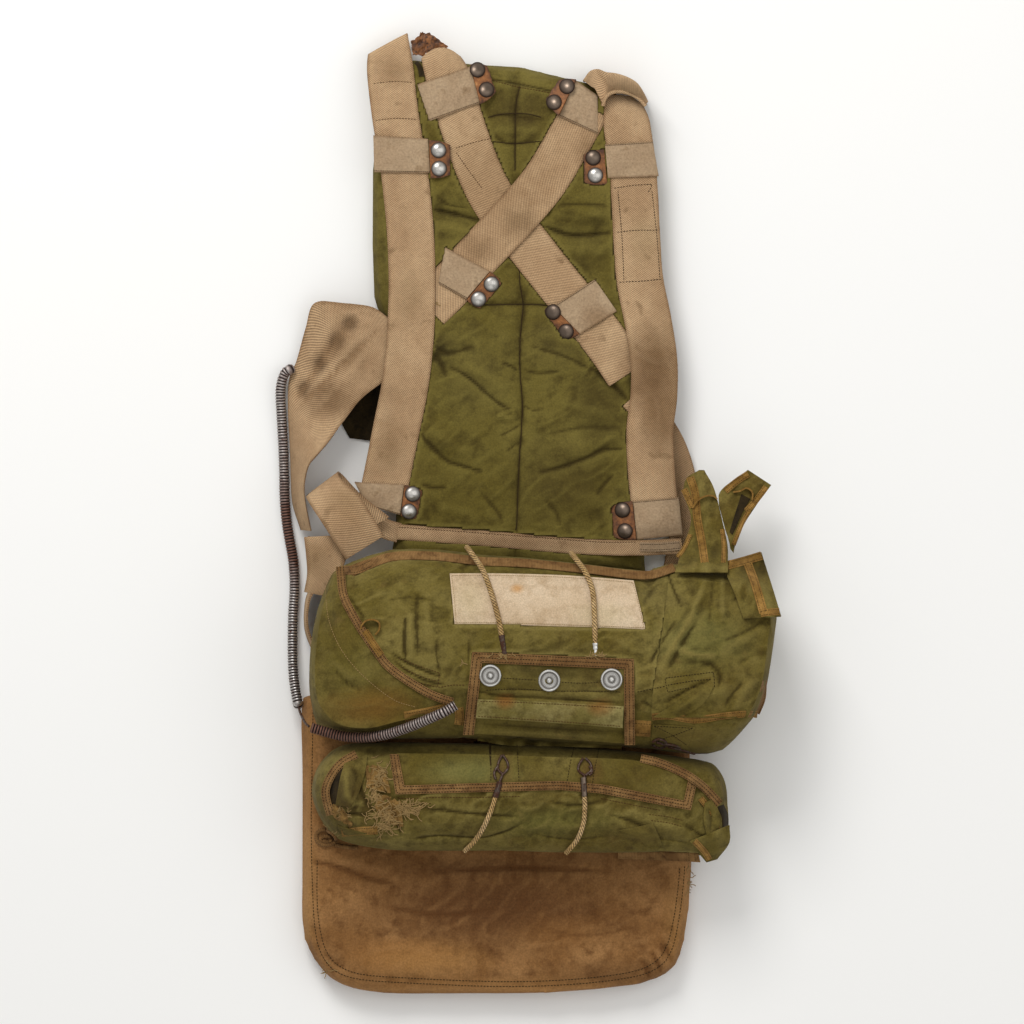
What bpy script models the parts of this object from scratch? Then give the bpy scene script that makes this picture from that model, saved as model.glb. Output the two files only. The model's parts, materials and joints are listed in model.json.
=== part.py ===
"""Packed seat parachute with its harness and quilted back pad, lying on its back.

The tables below are laid out as a maker's drawing sheet in millimetres: x runs to the right, y runs down
the sheet, and z is the height above the table top that everything lies on. The pieces are laid down one
after another, and each rests on what is already there.
"""
import math

import bpy
import numpy as np

MM = 0.001
SHEET_MIDDLE = (534.0, 513.5)
SHEET_SIZE = (900, 1050)
SQUARES = 2

GAP = 0.35
REST_ROUNDS = 14
WEBBING_DROOP = (0.45, 0.12)
CANVAS_DROOP = (1.6, 1.6)
HOSE_DROOP = 0.3
ELASTIC_DROOP = 6.0
HOSE_END_DROOP = 0.8
WEBBING_WIDTH = 47.0
WEBBING = 2.2
CANVAS = 1.6
TAPE = 1.3
TAPE_WIDTH = 8.5
LEATHER = 2.4
PATCH_CLOTH = 1.1

PAD_HEIGHT = 31.0
PAD_EDGE_HEIGHT = 10.0
PAD_ROUNDING = 24.0
SEAM_DEPTH = 5.0
SEAM_WIDTH = 5.0
CUSHION_HEIGHT = 35.0
CUSHION_EDGE_HEIGHT = 15.0
UPPER_ROLL_CROWN = 138.0
LOWER_ROLL_CROWN = 114.0
ROLL_FLOOR = 5.0

HOSE_DIAMETER = 10.6
CABLE_DIAMETER = 2.4
UPPER_ELASTIC_DIAMETER = 5.4
LOWER_ELASTIC_DIAMETER = 4.8
CORD_SIDES_RESOLUTION = 2
CORD_FOOTPRINT = 0.66

FINISHES = {
    "pad": ("6b6a33", 0.9, 0.0),
    "pack": ("75733c", 0.9, 0.0),
    "webbing": ("b09a7a", 0.9, 0.0),
    "tape": ("8c6a41", 0.9, 0.0),
    "cushion": ("8a6238", 0.95, 0.0),
    "leather": ("7c4a22", 0.7, 0.0),
    "patch": ("cdbf9c", 0.9, 0.0),
    "steel": ("77706c", 0.4, 0.9),
    "nickel": ("b5b3ae", 0.3, 1.0),
    "elastic": ("b7a07c", 0.85, 0.0),
}


# Places and lines on the sheet

def world(points):
    """Sheet places in millimetres as places in metres."""
    points = np.asarray(points, float)
    x = points[..., 0] - SHEET_MIDDLE[0]
    y = SHEET_MIDDLE[1] - points[..., 1]
    return np.stack([x, y, points[..., 2]], axis=-1) * MM


def rail(points, steps, smooth=True):
    """Places along an edge: every span between two given points is cut into the same number of steps."""
    points = np.array(points, float)
    if not smooth:
        places = np.linspace(0, len(points) - 1, (len(points) - 1) * steps + 1)
        spans = np.arange(len(points))
        columns = [np.interp(places, spans, points[:, axis]) for axis in range(points.shape[1])]
        return np.column_stack(columns)
    ends = np.vstack([2 * points[0] - points[1], points, 2 * points[-1] - points[-2]])
    curve = [points[0]]
    for a, b, c, d in zip(ends, ends[1:], ends[2:], ends[3:]):
        for step in range(1, steps + 1):
            t = step / steps
            bend = (2 * a - 5 * b + 4 * c - d) * t * t + (3 * b - a - 3 * c + d) * t ** 3
            curve.append(0.5 * (2 * b + (c - a) * t + bend))
    return np.array(curve)


def spread(line, fractions):
    """Places on a line at the given fractions of its length."""
    lengths = np.concatenate([[0], np.cumsum(np.linalg.norm(np.diff(line, axis=0), axis=1))])
    places = np.asarray(fractions) * lengths[-1]
    return np.column_stack([np.interp(places, lengths, line[:, axis]) for axis in range(line.shape[1])])


def edges_of(centre, width):
    """Both edges of a strap whose middle runs along a line."""
    run = np.gradient(centre[:, :2], axis=0)
    run /= np.linalg.norm(run, axis=1)[:, None]
    side = np.column_stack([-run[:, 1], run[:, 0]]) * width / 2
    left = centre.copy()
    right = centre.copy()
    left[:, :2] += side
    right[:, :2] -= side
    return left, right


def net_between(left, right, columns):
    """A net of places between two edges."""
    across = np.linspace(0, 1, columns)[None, :, None]
    return left[:, None] * (1 - across) + right[:, None] * across


def net_inside(top, bottom, left, right, down, across):
    """A net of places inside four edges that meet at their corners."""
    top = spread(top, across)[None, :]
    bottom = spread(bottom, across)[None, :]
    left = spread(left, down)[:, None]
    right = spread(right, down)[:, None]
    v = np.asarray(down)[:, None, None]
    u = np.asarray(across)[None, :, None]
    corners = (1 - v) * ((1 - u) * top[:, :1] + u * top[:, -1:])
    corners = corners + v * ((1 - u) * bottom[:, :1] + u * bottom[:, -1:])
    return (1 - v) * top + v * bottom + (1 - u) * left + u * right - corners


def fold_heights(x, y, folds):
    """Height that a table of straight folds adds at each place: ridges up, creases down."""
    total = np.zeros(x.shape)
    for x1, y1, x2, y2, height, width in folds:
        dx, dy = x2 - x1, y2 - y1
        along = np.clip(((x - x1) * dx + (y - y1) * dy) / (dx * dx + dy * dy), 0, 1)
        away = np.hypot(x - x1 - along * dx, y - y1 - along * dy)
        total += height * np.exp(-(away / width) ** 2)
    return total


# Laying one piece on another

def net_triangles(rows, columns):
    """The triangles of a net, each as three indices."""
    index = np.arange(rows * columns).reshape(rows, columns)
    a, b = index[:-1, :-1].ravel(), index[:-1, 1:].ravel()
    c, d = index[1:, 1:].ravel(), index[1:, :-1].ravel()
    return np.concatenate([np.column_stack([a, d, c]), np.column_stack([a, c, b])])


def lattice(count):
    """Weights of evenly spread places inside a triangle."""
    weights = []
    for i in range(count + 1):
        for j in range(count + 1 - i):
            weights.append((i, j, count - i - j))
    return np.array(weights, float) / count


class Ground:
    """The highest surface laid down so far, on small squares over the sheet, SQUARES of them to a millimetre."""

    def __init__(self):
        self.top = np.zeros((SHEET_SIZE[1] * SQUARES, SHEET_SIZE[0] * SQUARES))

    def stamp(self, points, faces):
        corners = points[faces]
        longest = np.linalg.norm(corners - np.roll(corners, 1, axis=1), axis=2).max(axis=1)
        finest = 0.7 / SQUARES
        counts = 2 ** np.ceil(np.log2(np.maximum(longest / finest, 1))).astype(int)
        for count in np.unique(counts):
            places = np.einsum("sk,tkc->tsc", lattice(count), corners[counts == count]).reshape(-1, 3)
            columns, rows = (places[:, :2] * SQUARES).astype(int).T
            np.maximum.at(self.top, (rows, columns), places[:, 2])

    def around(self):
        """For each square, the highest of it and the eight around it."""
        high = self.top.copy()
        high[:, 1:] = np.maximum(high[:, 1:], self.top[:, :-1])
        high[:, :-1] = np.maximum(high[:, :-1], self.top[:, 1:])
        tall = high.copy()
        tall[1:] = np.maximum(tall[1:], high[:-1])
        tall[:-1] = np.maximum(tall[:-1], high[1:])
        return tall

    def lowest_rest(self, net, clear=GAP):
        """Lowest heights of a net's places at which all its facets clear what lies below."""
        flat = net[..., :2].reshape(-1, 2)
        faces = net_triangles(*net.shape[:2])
        weights = lattice(12)
        places = np.einsum("sk,tkc->tsc", weights, flat[faces])
        high = self.around()
        squares = (places * SQUARES).astype(int)
        below = high[squares[..., 1], squares[..., 0]] + clear
        squares = (flat * SQUARES).astype(int)
        heights = high[squares[:, 1], squares[:, 0]] + clear
        ceiling = heights.copy()
        np.maximum.at(ceiling, faces, below.max(axis=1)[:, None])
        for _ in range(REST_ROUNDS):
            short = np.maximum(below - heights[faces] @ weights.T, 0)
            lift = (short[:, :, None] * weights[None]).max(axis=1)
            raised = np.zeros(len(flat))
            np.maximum.at(raised, faces, lift)
            heights = np.maximum(heights, np.minimum(heights + raised, ceiling))
        short = np.maximum(below - heights[faces] @ weights.T, 0).max(axis=1)
        np.maximum.at(heights, faces, heights[faces] + short[:, None])
        return heights.reshape(net.shape[:2])


ground = Ground()


def held_up(net, low, droop):
    """Stiff cloth falls away from what holds it up no faster than its droop, across and down the net."""
    heights = low.copy()
    for axis in (0, 1):
        step = np.linalg.norm(np.diff(net[..., :2], axis=axis), axis=2)
        before = [(1, 0), (0, 0)] if axis == 0 else [(0, 0), (1, 0)]
        place = np.pad(np.cumsum(step, axis), before)
        place, turned = np.moveaxis(place, axis, -1), np.moveaxis(heights, axis, -1)
        away = np.abs(place[..., :, None] - place[..., None, :]) * droop[axis]
        heights = np.moveaxis((turned[..., None, :] - away).max(axis=-1), -1, axis)
    return heights


def settled(low, rounds):
    """Cloth bridges small hollows: heights are evened out but never fall below the lowest rest."""
    heights = low.copy()
    for _ in range(rounds):
        padded = np.pad(heights, 1, mode="edge")
        even = (padded[:-2, 1:-1] + padded[2:, 1:-1] + padded[1:-1, :-2] + padded[1:-1, 2:]) / 4
        heights = np.maximum(low, even)
    return heights


def net_normals(net):
    """Upward directions square to a net at each of its places."""
    across = np.gradient(net, axis=1)
    down = np.gradient(net, axis=0)
    normals = np.cross(across, down)
    normals /= np.linalg.norm(normals, axis=2)[..., None]
    if normals[..., 2].sum() < 0:
        normals = -normals
    return normals


# Solids

def paint(kind):
    """The material of one kind of cloth or metal."""
    material = bpy.data.materials.get(kind)
    if material is None:
        colour, roughness, metallic = FINISHES[kind]
        material = bpy.data.materials.new(kind)
        material.use_nodes = True
        shader = material.node_tree.nodes["Principled BSDF"]
        parts = [int(colour[i:i + 2], 16) / 255 for i in (0, 2, 4)]
        linear = [part ** 2.2 for part in parts]
        shader.inputs["Base Color"].default_value = (*linear, 1)
        shader.inputs["Roughness"].default_value = roughness
        shader.inputs["Metallic"].default_value = metallic
    return material


def solid(name, points, faces, kind, lies=True):
    """One closed object from sheet places and faces, turned so that its faces point out."""
    faces = np.asarray(faces)
    used, numbers = np.unique(faces, return_inverse=True)
    points = points[used]
    faces = numbers.reshape(faces.shape)
    places = world(points)
    corners = places[faces]
    volume = np.einsum("ij,ij->i", corners[:, 0], np.cross(corners[:, 1], corners[:, 2])).sum()
    if volume < 0:
        faces = faces[:, ::-1]
    mesh = bpy.data.meshes.new(name)
    mesh.from_pydata(places.tolist(), [], faces.tolist())
    mesh.materials.append(paint(kind))
    mesh.shade_smooth()
    mesh.set_sharp_from_angle(angle=math.radians(40))
    item = bpy.data.objects.new(name, mesh)
    bpy.context.scene.collection.objects.link(item)
    if lies:
        ground.stamp(points, faces)
    return item


def rim_of(rows, columns):
    """Indices around the edge of a net, once round."""
    index = np.arange(rows * columns).reshape(rows, columns)
    return np.concatenate([index[:-1, 0], index[-1, :-1], index[:0:-1, -1], index[0, :0:-1]])


def two_faced(name, top, under, kind):
    """A solid between two nets of the same size, walled round the edge where they differ."""
    rows, columns = top.shape[:2]
    count = rows * columns
    upper = net_triangles(rows, columns)
    lower = upper[:, ::-1] + count
    rim = rim_of(rows, columns)
    after = np.roll(rim, -1)
    walls = np.concatenate([
        np.column_stack([rim, rim + count, after + count]),
        np.column_stack([rim, after + count, after]),
    ])
    points = np.concatenate([top.reshape(-1, 3), under.reshape(-1, 3)])
    return solid(name, points, np.concatenate([upper, lower, walls]), kind)


def pillow(name, top, under, kind):
    """A filled solid whose two faces share the places round their edge."""
    rows, columns = top.shape[:2]
    count = rows * columns
    upper = net_triangles(rows, columns)
    numbers = np.arange(count) + count
    rim = rim_of(rows, columns)
    numbers[rim] = rim
    lower = numbers[upper[:, ::-1]]
    points = np.concatenate([top.reshape(-1, 3), under.reshape(-1, 3)])
    return solid(name, points, np.concatenate([upper, lower]), kind)


def draped(name, net, thick, kind, rounds=6, wanted=None, droop=CANVAS_DROOP):
    """A sheet laid on what is below, or held at the wanted heights where those are higher."""
    low = ground.lowest_rest(net)
    heights = settled(held_up(net, low, droop), rounds)
    if wanted is not None:
        heights = np.maximum(heights, wanted)
    under = np.dstack([net[..., :2], heights])
    return two_faced(name, under + net_normals(under) * thick, under, kind)


def ribbon(name, left, right, columns, thick, kind):
    """A strap that stands, bends or folds back, from two edges with heights."""
    net = net_between(left, right, columns)
    low = ground.lowest_rest(net)
    upright = np.abs(net_normals(np.dstack([net[..., :2], np.maximum(low, net[..., 2])]))[..., 2])
    low = low + thick / 2 / np.maximum(upright, 0.5)
    middle = np.dstack([net[..., :2], np.maximum(low, net[..., 2])])
    aside = net_normals(middle) * thick / 2
    return two_faced(name, middle + aside, middle - aside, kind)


def cord(name, route, diameter, kind, spacing, droop, rounds):
    """A round cord along a route of sheet places, lying on what is below. Returns its middle line."""
    line = rail(route, 16)
    length = np.linalg.norm(np.diff(line, axis=0), axis=1).sum()
    count = max(int(length / (diameter * spacing)) + 1, 6)
    centre = spread(line, np.linspace(0, 1, count))
    left, right = edges_of(centre, diameter * CORD_FOOTPRINT)
    low = ground.lowest_rest(net_between(left, right, 3)).max(axis=1)[:, None]
    heights = settled(held_up(centre[:, None], low, (droop, 0)), rounds)[:, 0] + diameter / 2
    steps = np.linalg.norm(np.diff(centre, axis=0), axis=1)
    slopes = np.abs(np.diff(heights)) / steps
    steep = np.maximum(np.append(slopes, 0), np.append(0, slopes))
    heights = heights + diameter / 2 * (np.sqrt(1 + steep ** 2) - 1)
    middle = np.column_stack([centre, heights])
    tube(name, middle, diameter, kind)
    left, right = edges_of(centre, diameter)
    strip = net_between(left, right, 3)
    crest = np.array([0.15, 0.55, 0.15])[None, :] * diameter
    strip = np.dstack([strip, heights[:, None] + crest])
    ground.stamp(strip.reshape(-1, 3), net_triangles(*strip.shape[:2]))
    return middle


def tube(name, middle, diameter, kind):
    """A round solid along a line of sheet places."""
    points = world(middle)
    curve = bpy.data.curves.new(name, "CURVE")
    curve.dimensions = "3D"
    curve.bevel_depth = diameter / 2 * MM
    curve.bevel_resolution = CORD_SIDES_RESOLUTION
    curve.use_fill_caps = True
    spline = curve.splines.new("POLY")
    spline.points.add(len(points) - 1)
    for point, place in zip(spline.points, points):
        point.co = (*place, 1)
    curve.materials.append(paint(kind))
    bpy.context.scene.collection.objects.link(bpy.data.objects.new(name, curve))


# Filled pieces

PAD_ROWS_Y = (58, 64, 74, 88, 104, 117, 130, 150, 172, 194, 209, 217, 226, 246, 270, 290, 299, 305, 312,
              330, 352, 376, 402, 428, 456, 484, 512, 540, 567, 577)
PAD_LEFT = (  # y down the sheet, x of the left edge
    (58, 412), (74, 400), (104, 386), (150, 374), (172, 371.5), (246, 371), (299, 373), (316, 378), (330, 390),
    (352, 395), (512, 394), (575, 392))
PAD_SEAM = (  # y down the sheet, x of the middle seam
    (58, 520), (104, 516), (172, 516), (265, 517), (305, 524), (335, 520), (372, 520), (408, 522.5), (465, 519),
    (531, 516), (575, 516))
PAD_RIGHT = (  # y down the sheet, x of the right edge
    (58, 606), (74, 622), (104, 640), (150, 655), (172, 659), (300, 659), (318, 652), (345, 645), (575, 646))
PAD_TOP_DROP = (0, 5, 27)
PAD_TOP_REACH = 90
PAD_CREASES = (  # x1, y1, x2, y2, height, width
    (434, 215, 478, 214, -5, 7), (542, 214, 613, 231, -5, 7), (400, 305, 620, 305, -4, 5),
    (489, 117, 540, 117, -2, 6), (430, 350, 500, 385, 2.5, 14), (540, 350, 610, 330, 2.5, 14),
    (430, 440, 490, 420, 2.5, 14), (545, 430, 610, 465, 2.5, 14))


def pad_net():
    """Places over the back pad: rows down it, columns from edge to seam to edge."""
    rows = np.array(PAD_ROWS_Y, float)
    rails = [np.interp(rows, *np.array(table, float).T) for table in (PAD_LEFT, PAD_SEAM, PAD_RIGHT)]
    fade = np.clip(1 - (rows - rows[0]) / PAD_TOP_REACH, 0, 1)
    drops = [rows + drop * fade for drop in PAD_TOP_DROP]
    left = np.column_stack([rails[0], drops[0]])
    seam = np.column_stack([rails[1], drops[1]])
    right = np.column_stack([rails[2], drops[2]])
    across = np.array([0, 0.05, 0.13, 0.27, 0.48, 0.7, 0.87, 0.95])
    near = left[:, None] * (1 - across[None, :, None]) + seam[:, None] * across[None, :, None]
    across = np.array([0, 0.05, 0.13, 0.3, 0.52, 0.73, 0.87, 0.95, 1])
    far = seam[:, None] * (1 - across[None, :, None]) + right[:, None] * across[None, :, None]
    return np.concatenate([near, far], axis=1)


def edge_distance(net):
    """How far each place of a net lies inside its edge."""
    rim = net[..., :2].reshape(-1, 2)[rim_of(*net.shape[:2])]
    fine = rail(np.vstack([rim, rim[:1]]), 4, smooth=False)
    away = np.linalg.norm(net[..., None, :2] - fine[None, None], axis=3)
    return away.min(axis=2)


def rounded(distance, reach, power=2.4):
    """From 0 at an edge to 1 inside it, like the side of a filled cushion."""
    part = np.clip(distance / reach, 0, 1)
    return (1 - (1 - part) ** power) ** (1 / power)


def flat_bottomed(name, top, inset, kind):
    """A filled solid with a flat underside on the table, drawn in under its edge."""
    rows, columns = top.shape[:2]
    rim = rim_of(rows, columns)
    edge = top.reshape(-1, 3)[rim]
    run = np.roll(edge, -1, axis=0)[:, :2] - np.roll(edge, 1, axis=0)[:, :2]
    run /= np.linalg.norm(run, axis=1)[:, None]
    inward = np.column_stack([run[:, 1], -run[:, 0]])
    middle = top[..., :2].reshape(-1, 2).mean(axis=0)
    if ((middle - edge[:, :2]) * inward).sum() < 0:
        inward = -inward
    foot = np.column_stack([edge[:, :2] + inward * inset, np.zeros(len(edge))])
    count = rows * columns
    feet = np.arange(len(rim)) + count
    after = np.roll(rim, -1)
    feet_after = np.roll(feet, -1)
    walls = np.concatenate([
        np.column_stack([rim, feet, feet_after]),
        np.column_stack([rim, feet_after, after]),
    ])
    centre = np.array([[*foot[:, :2].mean(axis=0), 0]])
    hub = np.full(len(feet), count + len(feet))
    base = np.column_stack([feet_after, feet, hub])
    points = np.concatenate([top.reshape(-1, 3), foot, centre])
    return solid(name, points, np.concatenate([net_triangles(rows, columns), walls, base]), kind)


def back_pad():
    net = pad_net()
    x, y = net[..., 0], net[..., 1]
    seam_x = np.interp(y, *np.array(PAD_SEAM, float).T)
    heights = PAD_EDGE_HEIGHT + (PAD_HEIGHT - PAD_EDGE_HEIGHT) * rounded(edge_distance(net), PAD_ROUNDING)
    heights -= SEAM_DEPTH * np.exp(-((x - seam_x) / SEAM_WIDTH) ** 2) * (heights > PAD_EDGE_HEIGHT + 1)
    heights += fold_heights(x, y, PAD_CREASES) * rounded(edge_distance(net), PAD_ROUNDING)
    flat_bottomed("back_pad", np.dstack([net, heights]), 5.0, "pad")


CUSHION_OUTLINE = (  # y down the sheet, x of the left edge, x of the right edge
    (694, 309, 676), (699, 303, 684), (708, 301, 688), (730, 300, 690), (770, 300, 691), (810, 300, 691),
    (845, 300, 692), (858, 300, 692.5), (866, 300, 692.5), (876, 300, 692), (900, 300, 690), (920, 300.5, 688),
    (940, 304, 684.5), (955, 311, 680), (967, 319, 674), (977, 328, 661), (985, 342, 637), (990, 358, 596),
    (993.5, 384, 552), (995, 420, 500))
CUSHION_FOLDS = (  # x1, y1, x2, y2, height, width
    (316, 864, 395, 883, -3, 7), (430, 872, 640, 866, 2.5, 12), (500, 900, 500, 950, -2, 40),
    (640, 945, 668, 975, 2, 8))
CUSHION_BAND = 15.0
WELT_DEPTH = 1.6


def seat_cushion():
    table = np.array(CUSHION_OUTLINE, float)
    left = table[:, [1, 0]]
    right = table[:, [2, 0]]
    across = np.array([0, 0.02, 0.045, 0.08, 0.16, 0.3, 0.45, 0.6, 0.75, 0.87, 0.93, 0.96, 0.982, 1])
    net = left[:, None] * (1 - across[None, :, None]) + right[:, None] * across[None, :, None]
    away = edge_distance(net)
    heights = CUSHION_EDGE_HEIGHT + (CUSHION_HEIGHT - CUSHION_EDGE_HEIGHT) * rounded(away, CUSHION_BAND * 1.2)
    heights -= WELT_DEPTH * np.exp(-((away - CUSHION_BAND) / 4) ** 2)
    heights += fold_heights(net[..., 0], net[..., 1], CUSHION_FOLDS) * rounded(away, 40)
    flat_bottomed("seat_cushion", np.dstack([net, heights]), 4.0, "cushion")


ROLL_DOWN = (0, 0.015, 0.045, 0.09, 0.16, 0.25, 0.36, 0.5, 0.64, 0.75, 0.84, 0.91, 0.955, 0.985, 1)
ROLL_ACROSS = (0, 0.012, 0.03, 0.06, 0.1, 0.15, 0.2, 0.26, 0.32, 0.38, 0.45, 0.52, 0.59, 0.66, 0.72, 0.77,
               0.82, 0.86, 0.9, 0.935, 0.965, 0.985, 1)
UPPER_TOP = (  # x, y, height of the upper roll's edge nearest the pad
    (332, 574, 60), (345, 565, 66), (368, 556, 68), (395, 549, 68), (436, 549, 68), (480, 554, 68),
    (525, 556, 68), (587, 562, 68), (644, 568, 68), (674, 560, 68), (700, 564, 66), (735, 566, 62),
    (764, 580, 55))
UPPER_BOTTOM = (
    (314, 724, 48), (328, 731, 56), (344, 736, 60), (390, 740, 64), (464, 740, 66), (560, 743, 66),
    (640, 748, 66), (694, 754, 62), (722, 750, 56), (741, 730, 50))
UPPER_LEFT = ((332, 574, 60), (319, 605, 56), (312, 638, 54), (309, 667, 52), (310, 697, 50), (314, 724, 48))
UPPER_RIGHT = ((764, 580, 55), (777, 610, 54), (774, 640, 52), (768, 680, 50), (760, 708, 50), (741, 730, 50))
UPPER_FOLDS = (  # x1, y1, x2, y2, height, width
    (655, 712, 690, 650, 5, 11), (690, 650, 712, 600, 4, 10), (700, 655, 765, 640, -6, 11),
    (722, 590, 722, 650, 4, 9), (745, 600, 750, 650, -3, 9), (700, 690, 765, 665, 5, 10),
    (665, 585, 690, 620, -4, 10), (340, 640, 380, 690, -4, 10), (318, 640, 330, 700, 3, 8),
    (420, 600, 440, 690, -2, 14))
LOWER_TOP = (
    (331, 750, 52), (350, 742, 58), (390, 742, 62), (464, 742, 64), (560, 745, 64), (640, 750, 64),
    (694, 757, 58), (714, 762, 52))
LOWER_BOTTOM = (
    (334, 838, 46), (361, 846, 48), (402, 850, 48), (460, 849, 48), (560, 851, 48), (620, 851, 48),
    (665, 851, 48), (705, 856, 46), (722, 850, 46))
LOWER_LEFT = ((331, 750, 52), (317, 767, 50), (311, 790, 48), (317, 812, 46), (334, 838, 46))
LOWER_RIGHT = ((714, 762, 52), (725, 780, 50), (728, 805, 48), (729, 828, 46), (722, 850, 46))
LOWER_FOLDS = (
    (392, 838, 470, 815, 4, 10), (500, 845, 590, 815, -3, 10), (345, 760, 345, 805, 5, 8),
    (375, 775, 395, 815, -9, 12), (640, 830, 690, 838, 4, 9), (700, 785, 715, 830, -4, 8),
    (610, 815, 650, 845, 3, 9))


def roll(name, edges, crown, folds, power):
    """One filled roll of the pack: domed on top, sagging onto whatever lies under it."""
    top, bottom, left, right = [rail(edge, 6) for edge in edges]
    down, across = np.array(ROLL_DOWN), np.array(ROLL_ACROSS)
    middle = net_inside(top, bottom, left, right, down, across)
    v, u = down[:, None], across[None, :]
    ends = (1 - np.abs(2 * u - 1) ** 9) ** 0.5
    dome = (1 - np.abs(2 * v - 1) ** power) ** (1 / 1.9) * ends
    flank = middle[..., 2]
    over = flank + (crown - flank) * dome
    over += fold_heights(middle[..., 0], middle[..., 1], folds) * np.clip(dome * 1.5 - 0.3, 0, 1)
    upper = np.dstack([middle[..., :2], np.where(dome > 0, over, flank)])
    low = ground.lowest_rest(middle)
    sag = np.maximum(flank - (flank - ROLL_FLOOR) * dome ** 0.8, low)
    under = np.dstack([middle[..., :2], np.minimum(sag, flank - 2 * dome)])
    under[..., 2] = np.maximum(under[..., 2], low * (dome > 0))
    pillow(name, upper, under, "pack")


# Harness

STRAPS = {  # name: width, then x, y down the middle of the strap
    "strap_behind": (30, ((634, 396), (655, 420), (671, 446), (681, 476), (685, 508), (684, 540), (678, 572))),
    "cross_strap_left": (45, ((440, 50), (452, 90), (464, 130), (481, 175), (499, 208), (526, 242), (560, 285),
                              (593, 325), (612, 350), (628, 374))),
    "cross_strap_right": (46, ((588, 106), (570, 138), (545, 180), (513, 218), (480, 253), (462, 273),
                               (445, 291), (428, 308))),
    "shoulder_strap_left": (WEBBING_WIDTH, ((388, 40), (391, 80), (396, 120), (404, 170), (410, 228), (412, 285),
                                            (410, 340), (405, 385), (396, 430), (386, 480), (380, 506))),
    "shoulder_strap_right": (WEBBING_WIDTH, ((624, 93), (627, 125), (632, 160), (635, 200), (637, 240), (640, 280),
                                             (648, 320), (654, 360), (654, 395), (650, 430), (651, 465),
                                             (654, 500), (655, 528))),
}
WAIST_BELT = ((397, 532), (440, 535), (480, 538), (520, 541.5), (559, 545), (600, 547.5), (640, 548), (682, 546))
WAIST_BELT_WIDTH = 15.5

SIDE_BAND_OUTER = (
    (388, 322, 35.5), (364, 313, 33), (340, 306, 31), (319, 303, 24), (305, 331, 13), (296, 360, 7), (288.2, 380, 5),
    (287.2, 410, 5), (288.7, 440, 5), (289.6, 462, 5), (290.2, 484, 5), (292, 505, 5), (300, 530, 5))
SIDE_BAND_INNER = (
    (390, 376, 35.5), (380, 384, 35), (369, 392, 34), (358, 402, 34), (348, 415, 35), (339, 427, 37), (331, 438, 38),
    (323, 448, 40), (315, 457, 41), (308, 466, 42), (304, 486, 44), (306, 506, 46), (311, 531, 47))
SIDE_BAND_BACK_OUTER = ((328, 306, 0), (326, 330, 0), (326, 360, 0), (331, 390, 0), (338, 420, 0), (346, 436, 0))
SIDE_BAND_BACK_INNER = ((380, 308, 0), (380, 330, 0), (384, 360, 0), (398, 390, 0), (402, 420, 0), (400, 444, 0))
SIDE_LOOP_LEFT = (
    (346, 560, 56), (326, 529, 62), (309, 503, 54), (305, 495, 42), (308, 499, 31), (322, 520, 26), (340, 546, 24))
SIDE_LOOP_RIGHT = (
    (384, 536, 62), (361, 499, 68), (341, 479, 58), (337, 471, 46), (342, 474, 36), (362, 495, 34), (390, 517, 40))
HIP_LOOP_FOOT = (
    (306, 536, 4), (305, 560, 4), (308, 584, 5), (303.5, 600, 5), (302, 620, 5), (304.5, 637, 5), (315, 662, 5))
HIP_LOOP_HEAD = (
    (326, 542, 44), (321, 562, 46), (313.5, 586, 47.5), (307, 601, 48.5), (305, 620, 48.5), (308, 636, 48.5), (320, 660, 44.5))
SHOULDER_CAP_OUTER = (
    (581, 76, 30), (590, 69, 38), (603, 68, 47), (616, 72, 52), (632, 79, 52), (643, 90, 49), (649, 103, 42))
SHOULDER_CAP_INNER = (
    (588, 88, 0), (594, 84, 0), (604, 86, 30), (614, 92, 34), (625, 97, 34), (634, 103, 34), (640, 111, 0))

KEEPERS = {  # name: the strap loop's four corners, from its free end round to its leather end
    "keeper_top_left": ((417, 84), (470, 66), (480, 103), (429, 121)),
    "keeper_top_right": ((598, 95), (576, 80), (559, 116), (598, 134)),
    "keeper_middle_left": ((445, 247), (490, 271), (466, 299), (438, 283)),
    "keeper_middle_right": ((617, 311), (580, 334), (553, 306), (595, 279)),
    "keeper_side_left": ((373, 135), (428, 138.5), (430, 173), (374, 172)),
    "keeper_side_right": ((659, 176), (608, 178), (605, 144), (653, 141)),
    "keeper_low_left": ((354, 482), (404, 484), (400, 515), (366, 505)),
    "keeper_low_right": ((683, 535), (637, 540), (633, 501), (679, 497)),
}
LEATHER_TABS = {  # name: four corners, then the two stud places
    "tab_top_left": ((470.6, 64), (486, 62), (497, 95), (480.6, 104), (477.5, 69.5), (486.5, 89.5)),
    "tab_top_right": ((576, 79), (560.5, 77), (544, 102), (558.4, 115.4), (567, 86), (554, 102)),
    "tab_middle_left": ((490.6, 271.6), (504, 281), (478, 311), (466.6, 300), (491.5, 284), (478.5, 299)),
    "tab_middle_right": ((579.4, 334.4), (566, 342), (542, 307), (552.4, 306.4), (553, 312), (566, 331.5)),
    "tab_side_left": ((428.8, 140), (450, 141), (450, 178), (430.8, 178), (438.5, 150), (439, 168.5)),
    "tab_side_right": ((607.2, 184), (585, 186), (583, 151), (604.2, 149), (593.2, 157.5), (595.4, 175)),
    "tab_low_left": ((404.8, 485), (423, 488), (416, 522), (400.8, 516), (412.7, 494), (409, 511.5)),
    "tab_low_right": ((636.2, 540), (614, 541), (611, 503), (632.2, 501), (622.5, 510), (625, 531)),
}
STUD_RADIUS = 7.6
STUD_HEIGHT = 4.2


def strap(name):
    width, centre = STRAPS[name]
    left, right = edges_of(rail(centre, 3), width)
    draped(name, net_between(left, right, 4), WEBBING, "webbing", rounds=5, droop=WEBBING_DROOP)


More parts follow.
